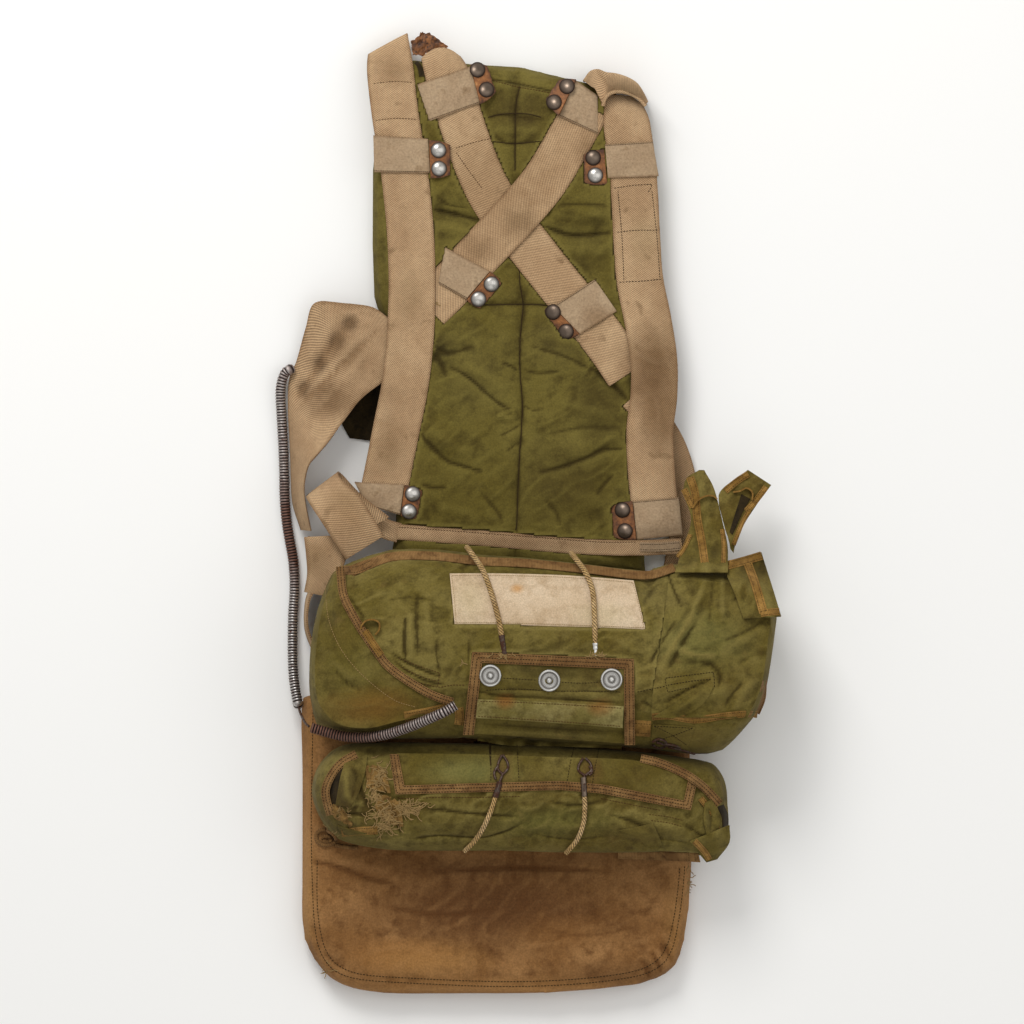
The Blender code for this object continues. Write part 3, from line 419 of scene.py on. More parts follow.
def mark_folds(piece, rounds=5, scale=0.45):
    """Stores how far each place stands out of its surroundings, so that the finish paints ridges pale, as wear and
    painted highlight, and hollows dark, as painted shade.
    """
    places, normals = places_of(piece), normals_of(piece)
    edges = np.empty(len(piece.data.edges) * 2, int)
    piece.data.edges.foreach_get("vertices", edges)
    a, b = edges.reshape(-1, 2).T
    count = np.bincount(np.concatenate([a, b]), minlength=len(places))[:, None]
    even = places.copy()
    for _ in range(rounds):
        total = np.zeros_like(even)
        for axis in range(3):
            total[:, axis] = np.bincount(a, even[b, axis], len(places)) + np.bincount(b, even[a, axis], len(places))
        even = even * 0.4 + total / count * 0.6
    out = np.clip(((places - even) * normals).sum(axis=1) / (scale * MM), -1, 1)
    store(piece, "fold", out)


# Finishes

def linear(code):
    """A colour as light, from its sRGB hex code."""
    parts = [int(code[i:i + 2], 16) / 255 for i in (0, 2, 4)]
    return tuple(p / 12.92 if p <= 0.04045 else ((p + 0.055) / 1.055) ** 2.4 for p in parts)


def add(tree, kind, sockets=None, **settings):
    """Adds a node with its settings, and its sockets' numbers or links."""
    made = tree.nodes.new("ShaderNode" + kind)
    for key, value in settings.items():
        setattr(made, key, value)
    for key, value in (sockets or {}).items():
        if isinstance(value, bpy.types.NodeSocket):
            tree.links.new(value, made.inputs[key])
        else:
            made.inputs[key].default_value = value
    return made


def blank(name, roughness, metallic=0.0, **sockets):
    material = bpy.data.materials.new(name)
    material.use_nodes = True
    tree = material.node_tree
    shader = tree.nodes["Principled BSDF"]
    shader.inputs["Roughness"].default_value = roughness
    shader.inputs["Metallic"].default_value = metallic
    for key, value in sockets.items():
        shader.inputs[key.replace("_", " ")].default_value = value
    return material, tree, shader


def mixed(tree, factor, one, other, blend="MIX"):
    made = add(tree, "Mix", {0: factor, 6: one, 7: other}, data_type="RGBA", blend_type=blend)
    return made.outputs[2]


def banded(tree, value, low, high):
    return add(tree, "MapRange", {0: value, 1: low, 2: high}).outputs[0]


def rgba(code):
    return (*linear(code), 1.0)


def cloth_finish(name, base, pale, dark, soil_and_edge_shade, blotch, thread, weave, roughness=0.92, wear_and_shading=0.5, bump=0.35,
                 soiling=0.5, stains_and_shade=(), sheen=0.02, edge_shade=0.0, contrast=(0.72, 1.16),
                 blotches=1.0):
    """Woven cloth. Sizes are in millimetres: of its blotches, and of its thread, which is drawn about twice as
    coarse as it is, because finer doesn't show. The fold attribute paints ridges pale, as wear and painted highlight,
    and creases dark, as painted shade; the outermost edges are darkened as painted edge shade; the stain table holds
    stains and patches of painted shade."""
    material, tree, shader = blank(name, roughness, Sheen_Weight=sheen, Sheen_Roughness=0.6, Specular_IOR_Level=0.14)
    place = add(tree, "TexCoord").outputs["Object"]
    large = add(tree, "TexNoise", {"Vector": place, "Scale": 1000 / blotch, "Detail": 4.0, "Roughness": 0.6})
    small = add(tree, "TexNoise", {"Vector": place, "Scale": 4600 / blotch, "Detail": 5.0, "Roughness": 0.65})
    grain = add(tree, "TexNoise", {"Vector": place, "Scale": 700 / thread, "Detail": 2.0, "Roughness": 0.7})
    colour = mixed(tree, banded(tree, large.outputs[0], 0.42, 0.68), rgba(base), rgba(pale))
    spots = add(tree, "Math", {0: banded(tree, small.outputs[0], 0.48, 0.78), 1: blotches}, operation="MULTIPLY")
    colour = mixed(tree, spots.outputs[0], colour, rgba(dark))
    dirt = banded(tree, add(tree, "TexNoise", {"Vector": place, "Scale": 620 / blotch, "Detail": 6.0,
                                               "Roughness": 0.7, "Distortion": 0.4}).outputs[0], 0.5, 0.75)
    dirt = add(tree, "Math", {0: dirt, 1: soiling}, operation="MULTIPLY").outputs[0]
    colour = mixed(tree, dirt, colour, rgba(soil_and_edge_shade))
    # Stains, and on the webbing and the pad some patches of painted shade: each one darkens or lightens a noisy oval
    # towards its colour.
    for x, y, wide, high, shade, amount in stains_and_shade:
        spot = world((x, y, 0))
        near = add(tree, "Mapping", {"Vector": place, "Location": tuple(-spot / (wide * MM, high * MM, 1)),
                                     "Scale": (1000 / wide, 1000 / high, 0.001)})
        rough = add(tree, "TexNoise", {"Vector": place, "Scale": 60.0, "Detail": 5.0})
        ball = add(tree, "TexGradient", {"Vector": near.outputs[0]}, gradient_type="SPHERICAL")
        edge = add(tree, "Math", {0: rough.outputs[0], 1: -0.5}, operation="ADD").outputs[0]
        edge = add(tree, "Math", {0: edge, 1: 0.4, 2: ball.outputs[1]}, operation="MULTIPLY_ADD").outputs[0]
        mask = add(tree, "Math", {0: banded(tree, edge, 0.05, 0.75), 1: amount}, operation="MULTIPLY").outputs[0]
        colour = mixed(tree, mask, colour, rgba(shade))
    # Painted highlight and shade: ridges go pale, partly as wear, and creases go dark, as painted shade.
    fold = add(tree, "Attribute", attribute_name="fold").outputs["Fac"]
    ridge = add(tree, "Math", {0: banded(tree, fold, 0.0, 1.0), 1: wear_and_shading}, operation="MULTIPLY").outputs[0]
    colour = mixed(tree, ridge, colour, rgba(pale))
    crease = add(tree, "Math", {0: banded(tree, fold, 0.0, -1.0), 1: wear_and_shading}, operation="MULTIPLY").outputs[0]
    colour = mixed(tree, crease, colour, rgba(dark))
    # Painted edge shade: the outermost rows along both long edges of a sheet are darkened towards the soil colour.
    rim = add(tree, "Attribute", attribute_name="rim").outputs["Fac"]
    worn = add(tree, "Math", {0: rim, 1: small.outputs[0]}, operation="MULTIPLY").outputs[0]
    colour = mixed(tree, add(tree, "Math", {0: worn, 1: edge_shade}, operation="MULTIPLY").outputs[0], colour, rgba(soil_and_edge_shade))
    if weave == "plain":
        threads = grain.outputs[0]
    else:
        uv = add(tree, "SeparateXYZ", {0: add(tree, "UVMap").outputs[0]})
        across = uv.outputs[0]
        if weave == "herringbone":
            across = add(tree, "Math", {0: across, 1: 0.0118}, operation="PINGPONG").outputs[0]
        slope = 0.0 if weave == "ribbed" else 1.0
        bands = add(tree, "Math", {0: across, 1: slope, 2: uv.outputs[1]}, operation="MULTIPLY_ADD").outputs[0]
        lines = add(tree, "TexWave", {"Vector": add(tree, "CombineXYZ", {0: bands}).outputs[0],
                                      "Scale": 314 / thread, "Distortion": 0.6, "Detail": 2.0,
                                      "Detail Scale": 900.0})
        over = add(tree, "Math", {0: across, 1: -0.45, 2: uv.outputs[1]}, operation="MULTIPLY_ADD").outputs[0]
        weft = add(tree, "TexWave", {"Vector": add(tree, "CombineXYZ", {0: over}).outputs[0],
                                     "Scale": 290 / thread, "Distortion": 0.8, "Detail": 2.0,
                                     "Detail Scale": 700.0})
        threads = mixed(tree, 0.2, lines.outputs[0], weft.outputs[0])
        threads = mixed(tree, 0.35, threads, grain.outputs[0])
    shade = add(tree, "MapRange", {0: threads, 1: 0.25, 2: 0.75, 3: contrast[0], 4: contrast[1]}).outputs[0]
    colour = mixed(tree, 1.0, colour, add(tree, "CombineColor", {0: shade, 1: shade, 2: shade}).outputs[0],
                   "MULTIPLY")
    rise = add(tree, "Bump", {"Strength": bump, "Distance": thread * 0.3 * MM, "Height": threads})
    tree.links.new(colour, shader.inputs["Base Color"])
    tree.links.new(rise.outputs[0], shader.inputs["Normal"])
    return material


def metal_finish(name, colour, dark, spots, roughness, grain_mm=1.2):
    """Plated or bare metal with scratches and spots of rust or dirt."""
    material, tree, shader = blank(name, roughness, 1.0)
    place = add(tree, "TexCoord").outputs["Object"]
    cloud = add(tree, "TexNoise", {"Vector": place, "Scale": 1000 / (grain_mm * 4), "Detail": 5.0, "Roughness": 0.7})
    mask = banded(tree, cloud.outputs[0], 1 - spots, 1.12 - spots)
    # Painted shade: where the fold attribute is below zero, as on a stud's rim and grooves, the metal turns dark and
    # rough.
    fold = add(tree, "Attribute", attribute_name="fold").outputs["Fac"]
    mask = add(tree, "Math", {0: mask, 1: banded(tree, fold, 0.0, -1.0)}, operation="MAXIMUM").outputs[0]
    shade = mixed(tree, mask, rgba(colour), rgba(dark))
    tree.links.new(shade, shader.inputs["Base Color"])
    rough = add(tree, "MapRange", {0: mask, 3: roughness, 4: 0.8}).outputs[0]
    tree.links.new(rough, shader.inputs["Roughness"])
    metal = add(tree, "MapRange", {0: mask, 3: 1.0, 4: 0.55}).outputs[0]
    tree.links.new(metal, shader.inputs["Metallic"])
    fine = add(tree, "TexNoise", {"Vector": place, "Scale": 1000 / grain_mm, "Detail": 3.0})
    rise = add(tree, "Bump", {"Strength": 0.12, "Distance": 0.0002, "Height": fine.outputs[0]})
    tree.links.new(rise.outputs[0], shader.inputs["Normal"])
    return material


def leather_finish():
    """Russet vegetable-tanned leather: pebbled grain, dry pale scuffs and dark edges of grime."""
    material, tree, shader = blank("russet_leather", 0.62, Specular_IOR_Level=0.35)
    place = add(tree, "TexCoord").outputs["Object"]
    tone = add(tree, "TexNoise", {"Vector": place, "Scale": 110.0, "Detail": 6.0, "Roughness": 0.7})
    fine = add(tree, "TexVoronoi", {"Vector": place, "Scale": 620.0})
    colour = mixed(tree, banded(tree, tone.outputs[0], 0.35, 0.62), rgba("54311a"), rgba("935d2f"))
    colour = mixed(tree, banded(tree, tone.outputs[0], 0.58, 0.8), colour, rgba("b98652"))
    fold = add(tree, "Attribute", attribute_name="fold").outputs["Fac"]
    colour = mixed(tree, banded(tree, fold, 0.0, -1.0), colour, rgba("2c180c"))
    rise = add(tree, "Bump", {"Strength": 0.5, "Distance": 0.0004, "Height": fine.outputs[0]})
    tree.links.new(colour, shader.inputs["Base Color"])
    tree.links.new(rise.outputs[0], shader.inputs["Normal"])
    return material


def hose_finish(name, length, bright):
    """Wound steel hose: each turn is worn bright on its crown in some lengths and rusted in the others."""
    material, tree, shader = blank(name, 0.42, 1.0)
    place = add(tree, "TexCoord").outputs["Object"]
    along = add(tree, "SeparateXYZ", {0: add(tree, "UVMap").outputs[0]}).outputs[1]
    cloud = add(tree, "TexNoise", {"Vector": place, "Scale": 90.0, "Detail": 4.0})
    place_on = add(tree, "Math", {0: along, 1: 1 / length}, operation="MULTIPLY").outputs[0]
    shaken = add(tree, "Math", {0: cloud.outputs[0], 1: 0.12, 2: place_on}, operation="MULTIPLY_ADD").outputs[0]
    ramp = add(tree, "ValToRGB", {0: shaken})
    ramp.color_ramp.interpolation = "LINEAR"
    while len(ramp.color_ramp.elements) < len(bright):
        ramp.color_ramp.elements.new(0.5)
    for element, (spot, shine) in zip(ramp.color_ramp.elements, bright):
        element.position = spot
        element.color = (shine, shine, shine, 1)
    fine = add(tree, "TexNoise", {"Vector": place, "Scale": 260.0, "Detail": 3.0})
    shine = add(tree, "Math", {0: ramp.outputs[0], 1: banded(tree, fine.outputs[0], 0.25, 0.5)},
                operation="MULTIPLY").outputs[0]
    groove = banded(tree, add(tree, "Attribute", attribute_name="fold").outputs["Fac"], -0.08, -0.5)
    crown = add(tree, "Math", {0: 1.0, 1: groove}, operation="SUBTRACT").outputs[0]
    shine = add(tree, "Math", {0: shine, 1: crown}, operation="MULTIPLY").outputs[0]
    rust = mixed(tree, fine.outputs[0], rgba("54301f"), rgba("7f4e36"))
    rust = mixed(tree, groove, rust, rgba("1f1310"))
    tree.links.new(mixed(tree, shine, rust, rgba("c3c1bd")), shader.inputs["Base Color"])
    tree.links.new(add(tree, "MapRange", {0: shine, 3: 0.45, 4: 1.0}).outputs[0], shader.inputs["Metallic"])
    tree.links.new(add(tree, "MapRange", {0: shine, 3: 0.7, 4: 0.3}).outputs[0], shader.inputs["Roughness"])
    return material


def plain_finish(name, colour, roughness):
    """Thread: one colour with a little variation."""
    material, tree, shader = blank(name, roughness, Specular_IOR_Level=0.2)
    place = add(tree, "TexCoord").outputs["Object"]
    cloud = add(tree, "TexNoise", {"Vector": place, "Scale": 160.0, "Detail": 3.0})
    lower = tuple(part * 0.72 for part in linear(colour)) + (1.0,)
    tree.links.new(mixed(tree, cloud.outputs[0], lower, rgba(colour)), shader.inputs["Base Color"])
    return material


FINISHES = {}


def finish(kind):
    if kind in FINISHES:
        return FINISHES[kind]
    if kind == "webbing":
        made = cloth_finish("cotton_webbing", "b08f6b", "c2a27c", "8c6c4b", "7b5c3e", 60, 2.3, "twill",
                            soiling=0.14, stains_and_shade=WEBBING_STAINS_AND_SHADE, bump=1.0, wear_and_shading=0.5, edge_shade=1.3,
                            contrast=(0.58, 1.24), blotches=0.3)
    elif kind == "keeper":
        made = cloth_finish("plain_webbing", "a0876a", "ad9577", "87704f", "75593c", 34, 1.5, "plain",
                            soiling=0.1, stains_and_shade=WEBBING_STAINS_AND_SHADE, bump=0.6, wear_and_shading=0.5, edge_shade=1.3, blotches=0.15)
    elif kind == "pad":
        made = cloth_finish("quilted_cotton", "5c501f", "6e622d", "362b0c", "4b3b14", 90, 1.2, "plain",
                            soiling=0.35, wear_and_shading=0.75, bump=0.25, stains_and_shade=PAD_STAINS_AND_SHADE)
    elif kind == "pack":
        made = cloth_finish("cotton_duck", "5e511f", "7a6c38", "342909", "573f16", 74, 1.3, "plain", soiling=0.4,
                            wear_and_shading=0.85, bump=0.35, stains_and_shade=PACK_STAINS)
    elif kind == "strip":
        made = cloth_finish("faded_duck", "6e6230", "8d8150", "463a15", "6b4a1e", 40, 1.3, "plain", soiling=0.4,
                            wear_and_shading=0.8, bump=0.3, stains_and_shade=PACK_STAINS)
    # Painted shade: a near-black cloth that stands for deep shade, on the side band's back layer and in hollows.
    elif kind == "dark":
        made = cloth_finish("shaded_lining", "2b2110", "3b2e16", "140e06", "1c1309", 30, 1.3, "plain", soiling=0.4)
    elif kind == "cushion":
        made = cloth_finish("cushion_duck", "7f5830", "9a7145", "553315", "4c2d15", 64, 1.4, "plain", soiling=0.45,
                            wear_and_shading=0.6, bump=0.4, stains_and_shade=CUSHION_STAINS)
    elif kind == "tape":
        made = cloth_finish("binding_tape", "73532f", "8f6d42", "4a3119", "44290f", 26, 1.5, "ribbed", soiling=0.45,
                            bump=0.6, wear_and_shading=0.6)
    elif kind == "ochre":
        made = cloth_finish("ochre_tape", "7d5c28", "a27b40", "553a18", "4b3112", 22, 1.4, "ribbed", soiling=0.45,
                            bump=0.6, wear_and_shading=0.6)
    elif kind == "patch":
        made = cloth_finish("bleached_cotton", "c4ac8d", "cfb99c", "ab9170", "ad8f68", 60, 1.0, "plain",
                            soiling=0.3, bump=0.2, stains_and_shade=PATCH_STAINS, wear_and_shading=0.4)
    elif kind == "lining":
        made = cloth_finish("torn_lining", "6f5329", "94723f", "4a3417", "3d290f", 14, 1.4, "plain", soiling=0.6,
                            bump=0.6)
    elif kind == "elastic":
        made = cloth_finish("braided_cotton", "b6945f", "d2b283", "7a5a34", "5f4222", 22, 3.4, "herringbone",
                            soiling=0.4, bump=1.2, contrast=(0.3, 1.25))
    elif kind == "leather":
        made = leather_finish()
    elif kind == "nickel":
        made = metal_finish("worn_nickel", "c9c5be", "3c2e26", 0.3, 0.22, 2.2)
    elif kind == "dull_nickel":
        made = metal_finish("tarnished_nickel", "76675a", "2e1e15", 0.36, 0.32, 2.2)
    elif kind == "bright_nickel":
        made = metal_finish("rubbed_nickel", "dcdad4", "4a4138", 0.24, 0.2, 2.2)
    elif kind == "rusty":
        made = metal_finish("rusted_steel", "5d5048", "4a2c1c", 0.56, 0.5)
    elif kind == "brown_thread":
        made = plain_finish("brown_linen_thread", "4f3417", 0.9)
    elif kind == "tan_thread":
        made = plain_finish("tan_linen_thread", "9c8052", 0.9)
    elif kind == "dark_thread":
        made = plain_finish("dark_linen_thread", "33260f", 0.9)
    else:
        raise KeyError(kind)
    FINISHES[kind] = made
    return made


# Stains on the webbing; the first four, along the side band's fold trough, are painted shade.
WEBBING_STAINS_AND_SHADE = (  # x, y, half width, half height, colour, amount
    (350, 323, 12, 12, "463423", 0.75), (336, 341, 12, 13, "463423", 0.75), (320, 364, 11, 15, "463423",
    0.75), (303, 388, 10, 14, "4c3926", 0.7), (345, 350, 70, 70, "7b5f42", 0.3), (500, 545, 150, 14, "5a4226",
    0.4), (665, 380, 30, 130, "6d5030", 0.3), (500, 180, 90, 90, "80633f", 0.25), (352, 510, 34, 34, "93714a",
    0.4), (652, 372, 40, 60, "6b4e30", 0.75), (664, 420, 30, 40, "77593a", 0.6), (330, 400, 40, 26, "6e5236",
    0.75), (345, 352, 30, 22, "7b5f40", 0.5), (520, 222, 26, 22, "6f5436", 0.55), (480, 250, 22, 18, "7b5f40",
    0.45), (395, 70, 24, 22, "7d6040", 0.5), (345, 500, 26, 18, "8a6f4d", 0.35), (590, 150, 22, 26, "75593a",
    0.5), (408, 300, 22, 40, "8a6f4d", 0.4), (390, 450, 20, 40, "7d6242", 0.45), (316, 560, 22, 24, "7d6242",
    0.5), (644, 240, 20, 36, "97805c", 0.35), (596, 318, 22, 18, "77593a", 0.45), (630, 90, 26, 14, "8d7350",
    0.4))
PACK_STAINS = (
    (552, 665, 84, 28, "3c3313", 0.7), (552, 733, 84, 18, "3f3514", 0.6), (500, 800, 230, 52, "45370f", 0.45),
    (360, 800, 44, 50, "3b2a0f", 0.5), (640, 780, 60, 34, "45370f", 0.3), (372, 705, 60, 24, "7c5a24", 0.7),
    (350, 670, 50, 40, "5a5220", 0.4), (560, 600, 150, 26, "7a6f46", 0.35), (700, 640, 60, 40, "76743e", 0.4),
    (505, 700, 14, 10, "7d4a1c", 0.7), (600, 706, 18, 12, "7d4a1c", 0.6), (470, 770, 60, 22, "7c7a45", 0.45),
    (560, 820, 90, 22, "6c6a34", 0.4), (345, 800, 40, 34, "4a3c1a", 0.6), (650, 830, 60, 18, "5a4c22", 0.5),
    (590, 770, 16, 26, "5e4420", 0.6), (502, 770, 14, 26, "5e4420", 0.6), (690, 735, 40, 20, "6e5c2a", 0.5))
CUSHION_STAINS = (
    (490, 868, 170, 14, "4a2c12", 0.7), (500, 915, 170, 50, "5a3a1e", 0.55), (400, 955, 70, 20, "8f6236",
    0.6), (306, 860, 7, 120, "a57a4a", 0.8), (686, 900, 5, 70, "a57a4a", 0.6), (480, 990, 180, 5, "a57a4a",
    0.7), (480, 905, 150, 46, "5b3a1e", 0.75), (360, 870, 80, 30, "6b4622", 0.55), (610, 880, 90, 34,
    "6a4724", 0.5), (620, 975, 90, 22, "5a3a1c", 0.55), (420, 960, 90, 26, "a0743f", 0.5), (305, 900, 16, 90,
    "a27a49", 0.45), (676, 930, 18, 60, "9b7240", 0.5), (500, 985, 200, 10, "9b7040", 0.5), (560, 935, 60, 26,
    "7b5228", 0.5), (308, 740, 14, 60, "9a6f3e", 0.4))
# Stains on the pad; the dark patches at 600, 400 and 440, 350 are painted shade, where the pad falls away beside the
# straps.
PAD_STAINS_AND_SHADE = (
    (565, 480, 70, 60, "463a18", 0.6), (520, 110, 60, 40, "46391a", 0.55), (470, 370, 60, 60, "655a30", 0.3),
    (560, 340, 60, 40, "675c33", 0.3), (600, 400, 40, 60, "3c3113", 0.6), (425, 240, 30, 60, "453a18", 0.5),
    (585, 245, 40, 40, "453a18", 0.4), (440, 350, 20, 24, "2f2610", 0.7))
PATCH_STAINS = (
    (517, 588, 9, 6, "b98546", 0.7), (470, 600, 26, 30, "bba984", 0.5), (600, 615, 40, 18, "bfae8a", 0.5))


# Tables of the pieces' outlines on the sheet

STRAPS = {  # name: width, then x, y down the middle of the strap
    "strap_behind": (30, "634,396 655,420 671,446 681,476 685,508 684,540 678,572"),
    "cross_strap_left": (45, "440,50 452,90 464,130 481,175 499,208 526,242 560,285 593,325 612,350 628,374"),
    "cross_strap_right": (46, "588,106 570,138 545,180 513,218 480,253 462,273 445,291 428,308"),
    "shoulder_strap_left": (47, "388,40 391,80 396,120 404,170 410,228 412,285 410,340 405,385 396,430 "
        "386,480 380,506"),
    "shoulder_strap_right": (47, "624,93 627,125 632,160 635,200 637,240 640,280 648,320 654,360 654,395 "
        "650,430 651,465 654,500 655,528"),
    "waist_belt": (15.5, "397,532 440,535 480,538 520,541.5 559,545 600,547.5 640,548 682,546"),
}
BAND_OUTER = (
    "390,319,36 372,307,34 345,303.5,31 314.5,302.5,24 305,328,14 296,360,7 288.2,380,5 287.2,410,5 "
    "288.7,440,5 289.6,462,5 290.2,484,5 292,505,5 300,530,5")
BAND_INNER = (
    "390,376,35.5 380,384,35 369,392,34 358,402,34 348,415,35 339,427,37 331,438,38 323,448,40 315,457,41 "
    "308,466,42 304,486,44 306,506,46 311,531,47")
BAND_BACK_OUTER = "334,318,0 330,336,0 330,360,0 333,390,0 340,420,0 349,438,0"
BAND_BACK_INNER = "372,322,0 378,338,0 384,360,0 398,390,0 402,420,0 400,444,0"
SIDE_LOOP_LEFT = "346,560,56 326,529,62 309,503,54 305,495,42 308,499,31 322,520,26 340,546,24"
SIDE_LOOP_RIGHT = "384,536,62 361,499,68 341,479,58 337,471,46 342,474,36 362,495,34 390,517,40"
HIP_LOOP_FOOT = "306,536,4 305,560,4 308,584,5 303.5,600,5 302,620,5 304.5,637,5 315,662,5"
HIP_LOOP_HEAD = "326,542,44 321,562,46 313.5,586,47.5 307,601,48.5 305,620,48.5 308,636,48.5 320,660,44.5"
HIP_GUSSET = (  # the strap's turned end, sewn to the pack between the hip loop and the left flap
    "304,537,45 306,556,46.5 307,574,47 304,592,47", "340,535,48 346,556,49 338,578,50 324,596,49")
CAP_OUTER = "583,80 590,71 598,69 606,72 616,73.5 627,77 637,83 643.5,92 648,101"
CAP_INNER = "592,87 595,89 599,97 604,106 606.5,98 612,92.5 624,91.5 636,96 644.5,106"
KEEPERS = {  # name: the four corners of the strap loop, from its free end round to its leather end
    "keeper_top_left": "417,84 470,66 480,103 429,121",
    "keeper_top_right": "598,95 576,80 559,116 598,134",
    "keeper_middle_left": "445,247 490,271 466,299 438,283",
    "keeper_middle_right": "617,311 580,334 553,306 595,279",
    "keeper_side_left": "373,135 428,138.5 430,173 374,172",
    "keeper_side_right": "659,176 608,178 605,144 653,141",
    "keeper_low_left": "354,482 404,484 400,515 366,505",
    "keeper_low_right": "683,535 637,540 633,501 679,497",
}
TABS = {  # name: four corners, then the two stud places and whether each is bright
    "tab_top_left": ((470.6, 64), (486, 62), (497, 95), (480.6, 104), (477.5, 69.5, 0), (486.5, 89.5, 0)),
    "tab_top_right": ((576, 79), (560.5, 77), (544, 102), (558.4, 115.4), (567, 86, 0), (554, 102, 0)),
    "tab_middle_left": ((490.6, 271.6), (504, 281), (478, 311), (466.6, 300), (491.5, 284, 1), (478.5, 299, 1)),
    "tab_middle_right": ((579.4, 334.4), (566, 342), (542, 307), (552.4, 306.4), (553, 312, 0), (566, 331.5, 0)),
    "tab_side_left": ((428.8, 140), (450, 141), (450, 178), (430.8, 178), (438.5, 150, 1), (439, 168.5, 1)),
    "tab_side_right": ((607.2, 184), (585, 186), (583, 151), (604.2, 149), (593.2, 157.5, 0), (595.4, 175, 1)),
    "tab_low_left": ((404.8, 485), (423, 488), (416, 522), (400.8, 516), (412.7, 494, 1), (409, 511.5, 1)),
    "tab_low_right": ((636.2, 540), (614, 541), (611, 503), (632.2, 501), (622.5, 510, 0), (625, 531, 0)),
}
FLAPS = {  # name: left edge, right edge, each x, y
    "left_end_flap": ("334,575 324,606 318,640 316,672 320,702 338,722 368,727 404,719 450,711", "342,568 "
        "344,593 353,611 365,631 380,653 390,665 406,678 428,691 450,700"),
    "right_end_flap": ("668,577 664,610 658,650 652,690 650,716", "757,585 769,612 766,645 760,685 746,717"),
    "cloth_patch": ("450,573 500,573 567,575 633,580", "455,624 500,624 567,626 645,629"),
    "pocket_flap": ("397,752 470,753 560,756 640,760 688,777", "398,791 470,789 560,787 620,795 685,806"),
    "closure_flap": ("474,653 471,680 468,707 465,732", "631,660 632,688 632.5,716 633,743"),
    "closure_strip": ("478,698 525,699.5 575,702 623,705", "476,717 525,720 575,723.5 622,727"),
    "hem_strip": ("618,859 650,860 680,861 700,862", "618,851 650,851.5 680,852 698,853"),
    "pack_top_tape": ("349,566 369,558.5 395,551.5 436,551.5 480,556.5 525,558.5 587,564.5 644,570.5 672,563",
        "354,576 374,567 398,560 436,560 480,565 525,567 587,573 644,579 676,571"),
}
FRAME_TAPES = {  # square-cornered bindings: outer edge, inner edge
    "closure_tape": ("463,734 472.5,651 633,658 634.5,744", "474,734 482.5,662 623,668 624,744"),
    "pocket_tape": ("390,753 396,793 470,791 560,788.5 600,792 690,809 697,778", "399,753 405,784 470,782 "
        "560,779.5 602,783 683,799 688,776"),
}
TAPES = {
    "left_flap_tape": "341,566 344,593 352,611 364,631 380,654 389,665 406,678 431,693 453,701",
    "lower_left_tape": "357,753 342,762 331,776 326,792 331,814",
    "lower_right_tape": "640,757 660,762 685,773 703,786 719,803",
}
EARS = {
    "ear_left": ("699,470 686,479 684,495 691,520 683,545 674,572", "704,470 713,486 718,503 723,525 727,545 "
        "727,572"),
    "ear_middle": ("748,470 722,489 719,503 725,526 730,549", "771,485 757,504 744,524 736,541 733,553"),
    "ear_right": ("722,567 733,592 742,618", "761,552 771,585 780,616"),
    "corner_flap": ("689,840 697,851 706,862", "729,824 729,842 717,859"),
}
ELASTICS = {  # name: diameter, then x, y along it
    "elastic_upper_left": (5.4, "467,547 476,559 484,572 492,594 499,620 503,643"),
    "elastic_upper_right": (5.4, "571,553 578,562 585,572 592,590 594,618 594.5,643"),
    "elastic_lower_left": (4.8, "496,794 491.5,808 484,825 476,838 465,850"),
    "elastic_lower_right": (4.8, "584,793 584.5,806 583,822 577,838 566,852"),
}
HOSES = {
    "side_hose": "291,368 284,374 280,390 281,417 282.5,444 283.5,470 284,497 286,521 289,540 292.5,560 "
        "294,587 292.5,614 292,640 292.5,667 294.5,687 298,706",
    "front_hose": "312,727 326,731 344,735.5 364,736.5 384,734 404,728 424,720 444,711 456,704",
}
CLOSURE_STUDS = ((490.5, 674.5), (549, 679.5), (611, 678.3))

